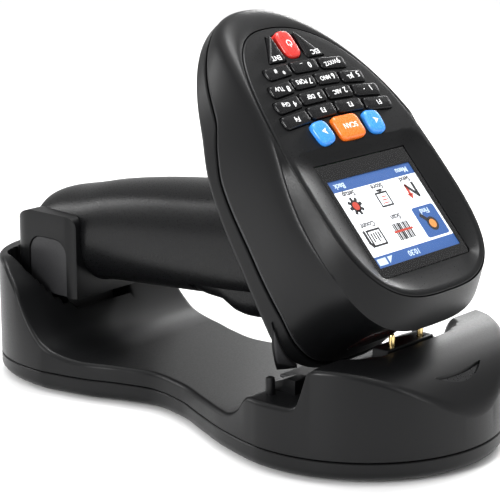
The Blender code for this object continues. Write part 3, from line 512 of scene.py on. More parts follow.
def finish_tree(tree, entry, leave, socket):
    """Ends a tree in real geometry with its material."""
    real = tree.nodes.new("GeometryNodeRealizeInstances")
    coat = tree.nodes.new("GeometryNodeSetMaterial")
    tree.links.new(socket, real.inputs[0])
    tree.links.new(real.outputs[0], coat.inputs["Geometry"])
    tree.links.new(entry.outputs["Coat"], coat.inputs["Material"])
    tree.links.new(coat.outputs[0], leave.inputs[0])
    return tree


def spread_tree():
    """Sets a copy of a piece at every point of a carrier."""
    kinds = [("Piece", "NodeSocketObject"), ("Size", "NodeSocketFloat"), ("Coat", "NodeSocketMaterial")]
    tree, entry, leave = new_tree("spread", kinds)
    info = tree.nodes.new("GeometryNodeObjectInfo")
    copies = tree.nodes.new("GeometryNodeInstanceOnPoints")
    tree.links.new(entry.outputs["Piece"], info.inputs["Object"])
    tree.links.new(entry.outputs["Geometry"], copies.inputs["Points"])
    tree.links.new(info.outputs["Geometry"], copies.inputs["Instance"])
    tree.links.new(entry.outputs["Size"], copies.inputs["Scale"])
    return finish_tree(tree, entry, leave, copies.outputs[0])


def sweep_tree():
    """Draws a round bar along the edges of a carrier."""
    kinds = [("Radius", "NodeSocketFloat"), ("Sides", "NodeSocketInt"), ("Coat", "NodeSocketMaterial")]
    tree, entry, leave = new_tree("sweep", kinds)
    path = tree.nodes.new("GeometryNodeMeshToCurve")
    ring = tree.nodes.new("GeometryNodeCurvePrimitiveCircle")
    bar = tree.nodes.new("GeometryNodeCurveToMesh")
    bar.inputs["Fill Caps"].default_value = True
    tree.links.new(entry.outputs["Geometry"], path.inputs["Mesh"])
    tree.links.new(entry.outputs["Radius"], ring.inputs["Radius"])
    tree.links.new(entry.outputs["Sides"], ring.inputs["Resolution"])
    tree.links.new(path.outputs["Curve"], bar.inputs["Curve"])
    tree.links.new(ring.outputs["Curve"], bar.inputs["Profile Curve"])
    return finish_tree(tree, entry, leave, bar.outputs[0])


def grow_by_tree(name, tree, points, loop=False, lines=False, place=None, **values):
    """Runs a tree on a carrier made of points, and keeps the result as a plain mesh."""
    place = place or Matrix.Identity(4)
    edges = [(i, i + 1) for i in range(len(points) - 1)] if lines else []
    if loop:
        edges.append((len(points) - 1, 0))
    mesh = bpy.data.meshes.new(name)
    mesh.from_pydata([tuple(place @ Vector(p) * MM) for p in points], edges, [])
    made = bpy.data.objects.new(name, mesh)
    bpy.context.scene.collection.objects.link(made)
    step = made.modifiers.new(name, "NODES")
    step.node_group = tree
    sockets = {s.name: s.identifier for s in tree.interface.items_tree if s.in_out == "INPUT"}
    for label, value in values.items():
        step[sockets[label]] = value
    return settle(made)


def spread(name, piece, places, coat, body, slot, *nodes):
    """Repeats a turned piece at several places of one body."""
    tree = bpy.data.node_groups.get("spread") or spread_tree()
    made = grow_by_tree(name, tree, places, Piece=piece, Size=1.0, Coat=coat)
    bpy.data.objects.remove(piece)
    return fit(made, body, slot, *nodes)


def sweep(name, line, radius, coat, body, slot, *nodes, loop=False, sides=12, place=None):
    """Draws a round bar of one body along a line."""
    tree = bpy.data.node_groups.get("sweep") or sweep_tree()
    made = grow_by_tree(name, tree, line, loop=loop, lines=True, place=place,
                        Radius=radius * MM, Sides=sides, Coat=coat)
    return fit(made, body, slot, *nodes)


# ---------------------------------------------------------------- materials

def speckle(tree, scale, detail=3.0):
    """Noise over the piece's own coordinates, its scale in features per metre."""
    coords = tree.nodes.new("ShaderNodeTexCoord")
    noise = tree.nodes.new("ShaderNodeTexNoise")
    noise.inputs["Scale"].default_value = scale
    noise.inputs["Detail"].default_value = detail
    tree.links.new(coords.outputs["Object"], noise.inputs["Vector"])
    return noise.outputs["Fac"]


def spread_value(tree, value, low, high):
    """Maps a noise value from its usual range to low and high."""
    node = tree.nodes.new("ShaderNodeMapRange")
    node.inputs["From Min"].default_value = 0.3
    node.inputs["From Max"].default_value = 0.7
    node.inputs["To Min"].default_value = low
    node.inputs["To Max"].default_value = high
    tree.links.new(value, node.inputs["Value"])
    return node.outputs["Result"]


def coated(name, colour, roughness, metallic=0.0, mottle=0.10, grain=1500.0, depth=0.02, rough_spread=0.05,
           cloud=45.0, **extra):
    """Principled material with cloudy colour, uneven gloss and a fine moulded grain."""
    found = bpy.data.materials.get(name)
    if found:
        return found
    made = bpy.data.materials.new(name)
    made.use_nodes = True
    made.diffuse_color = (*colour, 1)
    tree = made.node_tree
    shader = tree.nodes["Principled BSDF"]
    shader.inputs["Metallic"].default_value = metallic
    for label, value in extra.items():
        shader.inputs[label.replace("_", " ")].default_value = value
    clouds = speckle(tree, cloud)
    mix = tree.nodes.new("ShaderNodeMix")
    mix.data_type = "RGBA"
    mix.inputs["A"].default_value = (*[c * (1 - mottle) for c in colour], 1)
    mix.inputs["B"].default_value = (*[min(c * (1 + mottle), 1) for c in colour], 1)
    tree.links.new(clouds, mix.inputs["Factor"])
    tree.links.new(mix.outputs["Result"], shader.inputs["Base Color"])
    fine = speckle(tree, grain, 2.0)
    rough = spread_value(tree, fine, roughness - rough_spread, roughness + rough_spread)
    tree.links.new(rough, shader.inputs["Roughness"])
    bump = tree.nodes.new("ShaderNodeBump")
    bump.inputs["Strength"].default_value = 0.5
    bump.inputs["Distance"].default_value = depth * MM
    tree.links.new(fine, bump.inputs["Height"])
    tree.links.new(bump.outputs["Normal"], shader.inputs["Normal"])
    return made


def charcoal():
    body = bpy.context.scene.scanner_finish.body
    return coated("charcoal plastic", body, 0.36, mottle=0.08, grain=1800.0, depth=0.012,
                  Specular_IOR_Level=0.17)


def smooth_charcoal():
    body = bpy.context.scene.scanner_finish.body
    return coated("smooth charcoal plastic", body, 0.30, mottle=0.06, grain=2200.0, depth=0.006,
                  Specular_IOR_Level=0.17)


def panel_coat():
    body = bpy.context.scene.scanner_finish.body
    return coated("panel plastic", [c * 1.1 for c in body], 0.32, mottle=0.07, grain=2000.0, depth=0.008,
                  Specular_IOR_Level=0.15)


def key_coat():
    return coated("key rubber", (0.004, 0.004, 0.0045), 0.28, grain=2600.0, depth=0.006,
                  Specular_IOR_Level=0.18)


def rubber():
    return coated("soft rubber", (0.006, 0.006, 0.007), 0.6, mottle=0.15, grain=1200.0, depth=0.03)


def steel():
    return coated("plated steel", (0.52, 0.52, 0.54), 0.28, metallic=1.0, mottle=0.06, grain=900.0,
                  depth=0.01)


def gold():
    return coated("gold plating", (0.83, 0.62, 0.27), 0.22, metallic=1.0, mottle=0.05, grain=1500.0,
                  depth=0.005)


def ink():
    return coated("white ink", (0.80, 0.80, 0.80), 0.5, mottle=0.03, depth=0.004)


def tinted(name, colour, alpha, roughness=0.04):
    """Clear tinted pane."""
    made = coated(name, colour, roughness, mottle=0.05, depth=0.001, rough_spread=0.01)
    made.node_tree.nodes["Principled BSDF"].inputs["Alpha"].default_value = alpha
    return made


def lit(name, colour, glow):
    """Ink of the picture, lit from behind."""
    return coated(name, colour, 0.45, mottle=0.02, depth=0.002, Emission_Color=(*colour, 1),
                  Emission_Strength=glow)


# ---------------------------------------------------------------- cradle

def cradle_sheet(xs, shares, grow, radius, drop):
    """Grid of the cradle's upper face, moved in by grow and down by drop."""
    half = side_y(xs)
    x = np.repeat(xs[:, None], len(shares), 1)
    y = half[:, None] * shares[None, :]
    if grow:
        x = x * (1 - grow / END_X)
        y = y * np.clip(1 - grow / np.maximum(half, 1e-6), 0.3, 1)[:, None]
    z = cradle_top(x.ravel(), y.ravel(), radius).reshape(x.shape) - drop
    return np.stack([x, y, z], 2)


def cradle_walls(sheet, levels):
    """Points and faces of a sheet with walls hanging from its rim. Levels are (inset, z) pairs."""
    rows, across = sheet.shape[:2]
    points = [tuple(p) for p in sheet.reshape(-1, 3)]
    faces = []
    for i in range(rows - 1):
        start = i * across
        faces += [(start + j, start + j + 1, start + across + j + 1, start + across + j)
                  for j in range(across - 1)]
    loop = [i * across for i in range(rows)] + [i * across + across - 1 for i in range(rows)][::-1]
    rim = [points[i] for i in loop]
    before = loop
    for inset, z in levels:
        row = []
        for x, y, _ in rim:
            row.append(len(points))
            points.append((x * (1 - inset / END_X), y * (1 - inset / max(abs(y), 8.0)), z))
        faces += [(before[j], before[(j + 1) % len(loop)], row[(j + 1) % len(loop)], row[j])
                  for j in range(len(loop))]
        before = row
    return points, faces, before


def crescent(grow=0.0):
    """Moon-shaped outline on the front slope, its middle nearest the front."""
    turns = np.linspace(-1, 1, 41)
    reach = 12.4 + 2.5 * grow
    front = [(99.6 + grow - (3.2 + grow) * t * t, reach * t) for t in turns]
    rear = [(97.2 - grow - 0.8 * t * t, reach * t) for t in turns[::-1]]
    return front + rear[1:-1]


def inlet_outline(grow=0.0):
    return rounded(rectangle(-5.2 - grow, 5.2 + grow, 9.6 - grow, 13.6 + grow), 1.9 + grow)


def turned_to_x(outline, low, high):
    """Solid over a (y, z) outline, from x = low to x = high."""
    points, faces = prism(outline, low, high)
    return [(p[2], p[0], p[1]) for p in points], faces


class CRADLE_OT_top_shell(bpy.types.Operator):
    """Top shell of the cradle, with its pocket, seat, guide posts and nose guide"""
    bl_idname = "scanner.cradle_top_shell"
    bl_label = "Cradle top shell"

    def execute(self, context):
        settings = context.scene.scanner_cradle
        xs = stations(44, settings.step / MM)
        turn = np.linspace(-1, 1, settings.rows)
        shares = np.sign(turn) * (1 - (1 - np.abs(turn)) ** 1.6)
        radius = settings.edge_radius / MM
        rim = SPLIT_Z + 0.1
        outer = cradle_walls(cradle_sheet(xs, shares, 0.0, radius, 0.0),
                             [(0.0, rim + CHAMFER), (CHAMFER, rim)])
        inner = cradle_walls(cradle_sheet(xs, shares, WALL, radius, WALL), [(0.0, rim)])
        shift = len(outer[0])
        points = outer[0] + inner[0]
        faces = outer[1] + [tuple(i + shift for i in face) for face in inner[1]]
        count = len(outer[2])
        faces += [(outer[2][j], outer[2][(j + 1) % count], inner[2][(j + 1) % count] + shift,
                   inner[2][j] + shift)
                  for j in range(count)]
        shell = solid("cradle_cover", (points, faces), charcoal())
        carve(shell, turned_to_x(inlet_outline(), -112, -94))
        carve(shell, prism(crescent(GAP), 18, 60))
        x, y, post_radius, top = POST
        soft_end = ((0.0, 1.0), (0.90, 1.0), (0.96, 0.93), (1.0, 0.72))
        extras = [tube((x, side * y, SEAT_FLOOR - 1.4), (x, side * y, top), post_radius, profile=soft_end)
                  for side in (-1, 1)]
        carve(shell, extras, operation="UNION")
        step = [(46.5, 22.5), (57.0, 22.5), (57.0, 29.0), (53.0, 29.0), (46.5, 26.4)]
        carve(shell, [prism(step, low, low + 7.0, "Y") for low in (-37.0, 30.0)], operation="UNION")
        fit(shell, "cradle", "charcoal_plastic", "cradle_top_shell")
        return {"FINISHED"}


class CRADLE_OT_base_plate(bpy.types.Operator):
    """Base plate of the cradle, with a rounded lower edge, a label field and cooling slots"""
    bl_idname = "scanner.cradle_base_plate"
    bl_label = "Cradle base plate"

    def execute(self, context):
        xs = stations(40, 1.6)[1:-1]
        half = side_y(xs)
        top = SPLIT_Z - 0.2
        turns = np.linspace(math.pi / 2, 0, 9)
        levels = [(-3.6 + 3.6 * math.cos(a), 4.6 - 3.6 * math.sin(a)) for a in turns]
        levels += [(0.0, top - CHAMFER), (-CHAMFER, top), (-WALL - 1, top), (-WALL - 1, 3.2)]
        rows = []
        for grow, z in levels:
            scale = 1 + grow / END_X
            near = [(x * scale, -max(y + grow, 0.02), z) for x, y in zip(xs, half)]
            far = [(x, -y, z) for x, y, _ in near[::-1]]
            rows.append([(-END_X * scale, 0.0, z)] + near + [(END_X * scale, 0.0, z)] + far)
        plate = solid("cradle_tray", skin(rows), charcoal())
        carve(plate, [tube((x, y, 0.0), (x, y, 1.6), 5.0) for x, y in FOOT_PLACES])
        carve(plate, [tube((x, y, 0.0), (x, y, 2.2), 2.9) for x, y in SCREW_PLACES])
        carve(plate, prism(rounded(rectangle(-30, 12, -13, 13), 3.0), 0.5, 1.4))
        slots = [prism(rounded(rectangle(x, x + 1.8, -16, 16), 0.9), 0.5, 1.7)
                 for x in np.arange(24, 44, 4.0)]
        carve(plate, slots)
        fit(plate, "cradle", "charcoal_plastic", "cradle_base_plate")
        return {"FINISHED"}


class CRADLE_OT_fasteners(bpy.types.Operator):
    """Feet and base screws, repeated from one turned piece each"""
    bl_idname = "scanner.cradle_fasteners"
    bl_label = "Feet and base screws"

    def execute(self, context):
        profile = ((0.0, 0.80), (0.0, 0.93), (0.12, 0.985), (0.35, 1.0), (1.0, 1.0))
        foot = solid("foot_pattern", tube((0, 0, 0), (0, 0, 1.3), 4.6, profile=profile), rubber())
        shade(foot)
        places = [(x, y, 0.0) for x, y in FOOT_PLACES]
        spread("cradle_feet", foot, places, rubber(), "cradle", "soft_rubber",
               *[f"cradle_foot_{i}" for i in (1, 2, 3, 4)])
        profile = ((0.0, 0.70), (0.0, 0.84), (0.10, 0.95), (0.3, 1.0), (1.0, 1.0))
        screw = solid("screw_pattern", tube((0, 0, 0.7), (0, 0, 1.9), 2.5, profile=profile), steel())
        cross = [box((-1.5, 1.5), (-0.3, 0.3), (0.4, 1.35)), box((-0.3, 0.3), (-1.5, 1.5), (0.4, 1.35))]
        for arm in cross:
            carve(screw, arm)
        spread("base_screws", screw, [(x, y, 0.0) for x, y in SCREW_PLACES], steel(), "cradle", "steel",
               *[f"base_screw_{i}" for i in (1, 2, 3, 4)])
        return {"FINISHED"}


class CRADLE_OT_contacts(bpy.types.Operator):
    """Contact block with its two sprung charging pins"""
    bl_idname = "scanner.cradle_contacts"
    bl_label = "Charging contacts"

    def execute(self, context):
        side = [(70.5, 24.5), (73.0, 24.5), (77.2, 33.2), (77.2, 38.0), (70.5, 38.0)]
        block = solid("contact_holder", prism(side, -13, 13, "Y"), panel_coat())
        soften(block, 0.5)
        carve(block, [tube((PIN_X, y, 22), (PIN_X, y, 45), 1.4, 32) for y in (-PIN_Y, PIN_Y)])
        fit(block, "cradle", "panel_plastic", "contact_block")
        for name, y in (("charging_pin_right", -PIN_Y), ("charging_pin_left", PIN_Y)):
            low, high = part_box(name)
            profile = ((0.0, 1.0), (0.86, 1.0), (0.93, 0.9), (0.98, 0.62), (1.0, 0.25))
            pin = solid(name + "_plunger", tube((PIN_X, y, low.z / MM), (PIN_X, y, high.z / MM), 1.05, 32,
                                                profile), gold())
            shade(pin, 50)
            fit(pin, name, "brass", name)
        return {"FINISHED"}


class CRADLE_OT_small_parts(bpy.types.Operator):
    """Status light, rest pads and power inlet of the cradle"""
    bl_idname = "scanner.cradle_small_parts"
    bl_label = "Cradle small parts"

    def execute(self, context):
        line = crescent()
        heights = smooth(TOP_LINE, [p[0] for p in line]) - 0.9
        rows = [[(p[0], p[1], z - 3.4) for p, z in zip(line, heights)],
                [(*p, z) for p, z in zip(line, heights)]]
        lens = solid("status_light", skin(rows),
                     coated("smoked lens", (0.003, 0.003, 0.0035), 0.3, depth=0.002, Specular_IOR_Level=0.3))
        fit(shade(lens), "cradle", "lens", "status_light_lens")
        low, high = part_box("nose_rest_pad")
        pad = solid("nose_cushion", box(*[(low[i] / MM, high[i] / MM) for i in range(3)]), rubber())
        fit(soften(pad, 0.6), "cradle", "soft_rubber", "nose_rest_pad")
        low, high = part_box("handle_rest")
        rest = solid("handle_cushion", box(*[(low[i] / MM, high[i] / MM) for i in range(3)]), rubber())
        soften(rest, 1.0)
        top = high.z / MM
        ribs = [box((x, x + 0.9), (-14, 14), (top - 0.6, top + 1)) for x in np.arange(-90.0, -78.0, 2.2)]
        carve(rest, ribs)
        fit(rest, "cradle", "soft_rubber", "handle_rest")
        socket = solid("charging_socket",
                       turned_to_x(rounded(rectangle(-4.7, 4.7, 9.9, 13.3), 1.6), -104.6, -97.0),
                       steel())
        carve(socket, turned_to_x(rounded(rectangle(-4.1, 4.1, 10.5, 12.7), 1.05), -107, -98.2))
        tongue = turned_to_x(rectangle(-3.0, 3.0, 11.3, 11.9), -103.6, -98.0)
        carve(socket, tongue, operation="UNION")
        fit(socket, "cradle", "steel", "power_inlet")
        return {"FINISHED"}


# ---------------------------------------------------------------- head

def ring(plan, n):
    return np.column_stack([plan, np.broadcast_to(n, len(plan))])


class HEAD_OT_upper_shell(bpy.types.Operator):
    """Upper shell of the head: a wide rounded shoulder from the face panel to the seam"""
    bl_idname = "scanner.head_upper_shell"
    bl_label = "Head upper shell"

    def execute(self, context):
        count = context.scene.scanner_sizes.ring
        hole = egg(PANEL_EGG, count, GAP)
        edge = egg(SHELL_EGG, count)
        seam = smooth(SEAM_LINE, edge[:, 0])
        top = panel_n(hole[:, 0])
        low = island_n(hole[:, 0])
        flare = smooth(FLARE_LINE, hole[:, 0])
        ledge = egg(PANEL_EGG, count, GAP + flare)
        swell = (egg(SHELL_EGG, count, 1.0) - edge) * smooth(BULGE_LINE, hole[:, 0])[:, None]
        rows = [ring(hole, top - PANEL_SKIN - 1), ring(hole, top - 0.45),
                ring(egg(PANEL_EGG, count, GAP + 0.08), top - 0.3)]
        for share in (0.25, 0.5, 0.75, 0.92):
            rows.append(ring(egg(PANEL_EGG, count, GAP + flare * share),
                             top - 0.3 + (low - top + 0.3) * (0.85 * share + 0.15 * share ** 2)))
        for t in np.linspace(0.0, 0.47 * math.pi, 40):
            rows.append(ring(ledge + (edge - ledge) * math.sin(t) + swell * math.sin(2 * t),
                             low + (seam - low) * (1 - math.cos(t))))
        rows += [ring(edge, seam + CHAMFER), ring(egg(SHELL_EGG, count, -CHAMFER), seam)]
        inset = egg(SHELL_EGG, count, -WALL)
        for t in np.linspace(0.5 * math.pi, 0.06, 12):
            rows.append(ring(hole + (inset - hole) * math.sin(t),
                             top - PANEL_SKIN - 1 + (seam - top + PANEL_SKIN + 1) * (1 - math.cos(t))))
        shell = solid("head_cover", skin(rows, wrap=True), charcoal(), HEAD)
        shade(shell)
        half, low, high = SCAN_WINDOW
        opening = rounded(rectangle(-half - GAP, half + GAP, low - GAP, high + GAP), 3.0)
        carve(shell, turned_to_x(opening, 20, 42), place=HEAD)
        fit(shell, "scanner", "charcoal_plastic", "head_upper_shell")
        return {"FINISHED"}


class HEAD_OT_lower_shell(bpy.types.Operator):
    """Lower shell of the head: a shallow bowl under the seam, with its gasket and side pads"""
    bl_idname = "scanner.head_lower_shell"
    bl_label = "Head lower shell"

    def execute(self, context):
        count = context.scene.scanner_sizes.ring
        edge = egg(SHELL_EGG, count)
        seam = smooth(SEAM_LINE, edge[:, 0]) - 1.8
        low = smooth(SHELL_LOW, edge[:, 0])
        inset = egg(SHELL_EGG, count, -WALL)
        centre = np.array([SHELL_EGG[0], 0.0])
        middle = low * 0.75 + seam * 0.25
        rows = [ring(inset, seam), ring(egg(SHELL_EGG, count, -CHAMFER), seam), ring(edge, seam - CHAMFER)]
        turn_share = 0.97
        turn_plan = centre + (edge - centre) * turn_share
        turn_low = keel_n(turn_plan)
        for t in np.linspace(0, math.pi / 2, 8):
            share = 1 - (1 - turn_share) * (1 - math.cos(t))
            rows.append(ring(centre + (edge - centre) * share, middle + (turn_low - middle) * math.sin(t)))
        for share in (0.94, 0.90, 0.84, 0.76, 0.66, 0.54, 0.40, 0.25, 0.10):
            plan = centre + (edge - centre) * share
            rows.append(ring(plan, keel_n(plan)))
        inner = []
        for share in (0.985, 0.93, 0.82, 0.62, 0.36, 0.10):
            plan = centre + (inset - centre) * share
            inner.append(ring(plan, keel_n(plan) + WALL))
        shell = solid("head_tray", skin(inner[::-1] + rows), charcoal(), HEAD)
        fit(shade(shell), "scanner", "charcoal_plastic", "head_lower_shell")
        outer = egg(SHELL_EGG, count, -1.2)
        level = smooth(SEAM_LINE, edge[:, 0]) - 0.9
        line = [(p[0], p[1], n) for p, n in zip(outer, level)]
        sweep("seam_cord", line, 0.62, rubber(), "scanner", "soft_rubber", "seam_gasket", loop=True,
              place=HEAD)
        for name, side in (("right", -1), ("left", 1)):
            frame_pad = solid("side_mark_frame_" + name, wrapped_patch(SIDE_FRAME, side, 0.9), charcoal(),
                              HEAD)
            fit(shade(frame_pad, 50), "scanner", "charcoal_plastic")
            pad = solid("side_mark_pad_" + name, wrapped_patch(SIDE_MARK, side, 1.25), rubber(), HEAD)
            fit(shade(pad, 50), "scanner", "soft_rubber")
        return {"FINISHED"}


def wrapped_patch(corners, side, lift, steps=14):
    """Thin three-cornered plate that lies on the side of the head and stands proud by lift."""
    middle, _, to_nose, half, _, power = SHELL_EGG
    a, b, c = (np.array(p) for p in corners)
    points, faces = [], []
    for grow in (lift, -0.8):
        for i in range(steps + 1):
            for j in range(steps + 1 - i):
                place = a + (b - a) * i / steps + (c - a) * j / steps
                margin = min(i, j, steps - i - j) / steps
                out = grow - (0.25 * (1 - fade(margin * 8)) if grow > 0 else 0.0)
                share = min(abs(place[0] - middle) / to_nose, 0.999)
                angle = math.acos(share ** (power / 2))
                v = (half + out) * math.sin(angle) ** (2 / power)
                u = middle + (to_nose + out) * math.cos(angle) ** (2 / power)
                points.append((u, side * v, place[1]))
    row_start = [sum(steps + 1 - k for k in range(i)) for i in range(steps + 2)]
    layer = row_start[steps + 1]
    for base, flip in ((0, False), (layer, True)):
        for i in range(steps):
            for j in range(steps - i):
                low, high = base + row_start[i] + j, base + row_start[i + 1] + j
                faces.append((low, low + 1, high) if not flip else (low, high, low + 1))
                if j < steps - i - 1:
                    faces.append((low + 1, high + 1, high) if not flip else (low + 1, high, high + 1))
    rim = [row_start[0] + j for j in range(steps)]
    rim += [row_start[i] + steps - i for i in range(steps)]
    rim += [row_start[i] for i in range(steps, 0, -1)]
    faces += [(rim[k], rim[(k + 1) % len(rim)], rim[(k + 1) % len(rim)] + layer, rim[k] + layer)
              for k in range(len(rim))]
    return points, faces


def all_keys():
    return KEY_ROWS + BIG_KEYS + [("key_enter", -1), ("key_escape", 1)]


def key_outline(key, grow=0.0, steps=8):
    """Outline of one key in head coordinates."""
    if len(key) == 2:
        points = [Vector((u, v * key[1])) for u, v in CORNER_KEY]
        middle = sum(points, Vector((0, 0))) / 3
        points = [middle + (p - middle) * (1 + 2.2 * grow / 5.0) for p in points]
        return rounded([tuple(p) for p in points], 1.3 + max(grow, 0), steps)
    name, u, v, long, wide, turn = key
    a, b = long / 2 + grow, wide / 2 + grow
    radius = max(BIG_RADIUS.get(name, 1.5) + grow, 0.3)
    spin = Matrix.Rotation(math.radians(turn), 2)
    corners = [spin @ Vector(p) + Vector((u, v)) for p in ((-a, -b), (a, -b), (a, b), (-a, b))]
    return rounded([tuple(c) for c in corners], radius, steps)


def dish_rings(count, shares):
    """Outlines from the edge of the cover glass out to the edge of the dished frame, rising as they widen."""
    start, end, half = WINDOW
    centre = (start + end) / 2
    angle = np.linspace(0, 2 * math.pi, count, endpoint=False)
    along, aside = np.cos(angle), np.sin(angle)
    inner = (np.abs(along / (end - centre)) ** 14 + np.abs(aside / half) ** 14) ** (-1 / 14)
    middle, _, to_nose, wide, _, power = PANEL_EGG
    near, far = np.zeros(count), np.full(count, 60.0)
    for _ in range(30):
        reach = (near + far) / 2
        u, v = centre + reach * along, reach * aside
        ahead = np.maximum(u - middle, 0) / (to_nose - DISH[1])
        inside = (ahead ** power + np.abs(v / (wide - DISH[1])) ** power) ** (1 / power)
        inside = (inside ** 10 + (np.maximum(-u, 0) / -DISH[0]) ** 10) ** 0.1
        near, far = np.where(inside < 1, reach, near), np.where(inside < 1, far, reach)
    rings = []
    for share in shares:
        reach = inner + (near - inner) * share
        rings.append(ring(np.stack([centre + reach * along, reach * aside], 1),
                          -0.2 + (PANEL_TOP + 0.22) * share ** DISH[2]))
    return rings


class HEAD_OT_face_panel(bpy.types.Operator):
    """Face panel with a dished frame round the display and a hole for every key"""
    bl_idname = "scanner.face_panel"
    bl_label = "Face panel"

    def execute(self, context):
        count = context.scene.scanner_sizes.ring
        edge = egg(PANEL_EGG, count)
        inner = egg(PANEL_EGG, count, -2.0)
        top = panel_n(edge[:, 0])
        roof = top - PANEL_SKIN
        skirt = roof - 0.6
        rows = [ring(inner, roof), ring(inner, skirt), ring(edge, skirt), ring(edge, top - 0.9)]
        for t in np.linspace(0.15, math.pi / 2, 7):
            rows.append(ring(egg(PANEL_EGG, count, -0.7 * (1 - math.cos(t))), top - 0.9 + 0.9 * math.sin(t)))
        shrink = [-2.0, -4.0, -6.5, -9.0, -12.0, -15.5, -19.0, -23.0, -27.0, -31.0]
        for grow in shrink:
            plan = egg(PANEL_EGG, count, grow)
            rows.append(ring(plan, panel_n(plan[:, 0])))
        under = []
        for grow in shrink[::-3]:
            plan = egg(PANEL_EGG, count, grow)
            under.append(ring(plan, panel_n(plan[:, 0]) - PANEL_SKIN))
        panel = solid("keypad_panel", skin(under + rows), panel_coat(), HEAD)
        shade(panel)
        levels = dish_rings(240, np.linspace(0, 1, 12))
        levels = [levels[0] - np.array([0, 0, 12.0])] + levels + [levels[-1] + np.array([0, 0, 3.0])]
        carve(panel, skin(levels), place=HEAD, angle=40)
        start, end, half = WINDOW
        carve(panel, box((start, end), (-half, half), (-12, 0.02)), place=HEAD, angle=40)
        carve(panel, [prism(key_outline(k, 0.35), -14, 8) for k in all_keys()], place=HEAD, angle=40)
        fit(panel, "scanner", "panel_plastic", "face_panel")
        return {"FINISHED"}


def key_top(key):
    line = key_outline(key)
    u, v = sum(p[0] for p in line) / len(line), sum(p[1] for p in line) / len(line)
    sizes = bpy.context.scene.scanner_sizes
    tall = sizes.big_key_rise if key[0] in BIG_RADIUS else sizes.key_rise
    return u, v, float(panel_n(u)) + tall / MM


def lettering(name, text, size, coat, place, depth=0.03, weight=0.012):
    """Raised lettering, centred on its place."""
    curve = bpy.data.curves.new(name, "FONT")
    curve.body = text
    curve.size = size
    curve.align_x = "CENTER"
    curve.align_y = "CENTER"
    curve.extrude = depth
    curve.offset = weight * size
    curve.resolution_u = 3
    helper = bpy.data.objects.new(name, curve)
    bpy.context.scene.collection.objects.link(helper)
    bpy.context.view_layer.update()
    mesh = bpy.data.meshes.new_from_object(helper.evaluated_get(bpy.context.evaluated_depsgraph_get()))
    bpy.data.objects.remove(helper)
    mesh.transform(Matrix.Scale(MM, 4) @ place)
    mesh.materials.clear()
    mesh.materials.append(coat)
    made = bpy.data.objects.new(name, mesh)
    bpy.context.scene.collection.objects.link(made)
    return made


def joined(name, objects):
    """One object out of several finished ones."""
    bm = bmesh.new()
    coats = []
    for obj in objects:
        shift = len(coats)
        start = len(bm.faces)
        bm.from_mesh(obj.data)
        bm.faces.ensure_lookup_table()
        coats += list(obj.data.materials)
        for face in bm.faces[start:]:
            face.material_index += shift
    mesh = bpy.data.meshes.new(name)
    bm.to_mesh(mesh)
    bm.free()
    for coat in coats:
        mesh.materials.append(coat)
    for obj in objects:
        bpy.data.objects.remove(obj)
    made = bpy.data.objects.new(name, mesh)
    bpy.context.scene.collection.objects.link(made)
    return made


def on_head(u, v, n, turn=0.0):
    """Placing for lettering that is read with its top towards the nose."""
    face = Matrix(((0, 1, 0, u), (-1, 0, 0, v), (0, 0, 1, n), (0, 0, 0, 1)))
    return HEAD @ face @ Matrix.Rotation(math.radians(turn), 4, "Z")


class HEAD_OT_keys(bpy.types.Operator):
    """All keys with their crowned tops and printed legends"""
    bl_idname = "scanner.keys"
    bl_label = "Keys"

    def execute(self, context):
        finish = context.scene.scanner_finish
        coats = {
            "key_power": (coated("red key plastic", finish.red, 0.30, depth=0.003), "red_key"),
            "key_left": (coated("blue key plastic", finish.blue, 0.26, depth=0.003), "blue_key"),
            "key_right": (coated("blue key plastic", finish.blue, 0.26, depth=0.003), "blue_key"),
            "key_scan": (coated("orange key plastic", finish.orange, 0.28, depth=0.003), "orange_key"),
        }
        for key in all_keys():
            coat, slot = coats.get(key[0], (key_coat(), "key_rubber"))
            u, v, top = key_top(key)
            soft = 1.15 if key[0] in BIG_RADIUS else 0.75
            levels = [(0.0, -4.4), (0.0, top - soft)]
            levels += [(-soft * (1 - math.cos(t)), top - soft * (1 - math.sin(t)) - 0.12)
                       for t in np.linspace(0.2, math.pi / 2, 7)]
            levels += [(-soft - 0.5, top - 0.05), (-soft - 1.0, top)]
            rows = [[(p[0], p[1], n) for p in key_outline(key, grow)] for grow, n in levels]
            cap = solid(key[0] + "_cap", skin(rows), coat, HEAD)
            fit(shade(cap, 50), key[0], slot, key[0])
            legend(key, u, v, top)
        return {"FINISHED"}


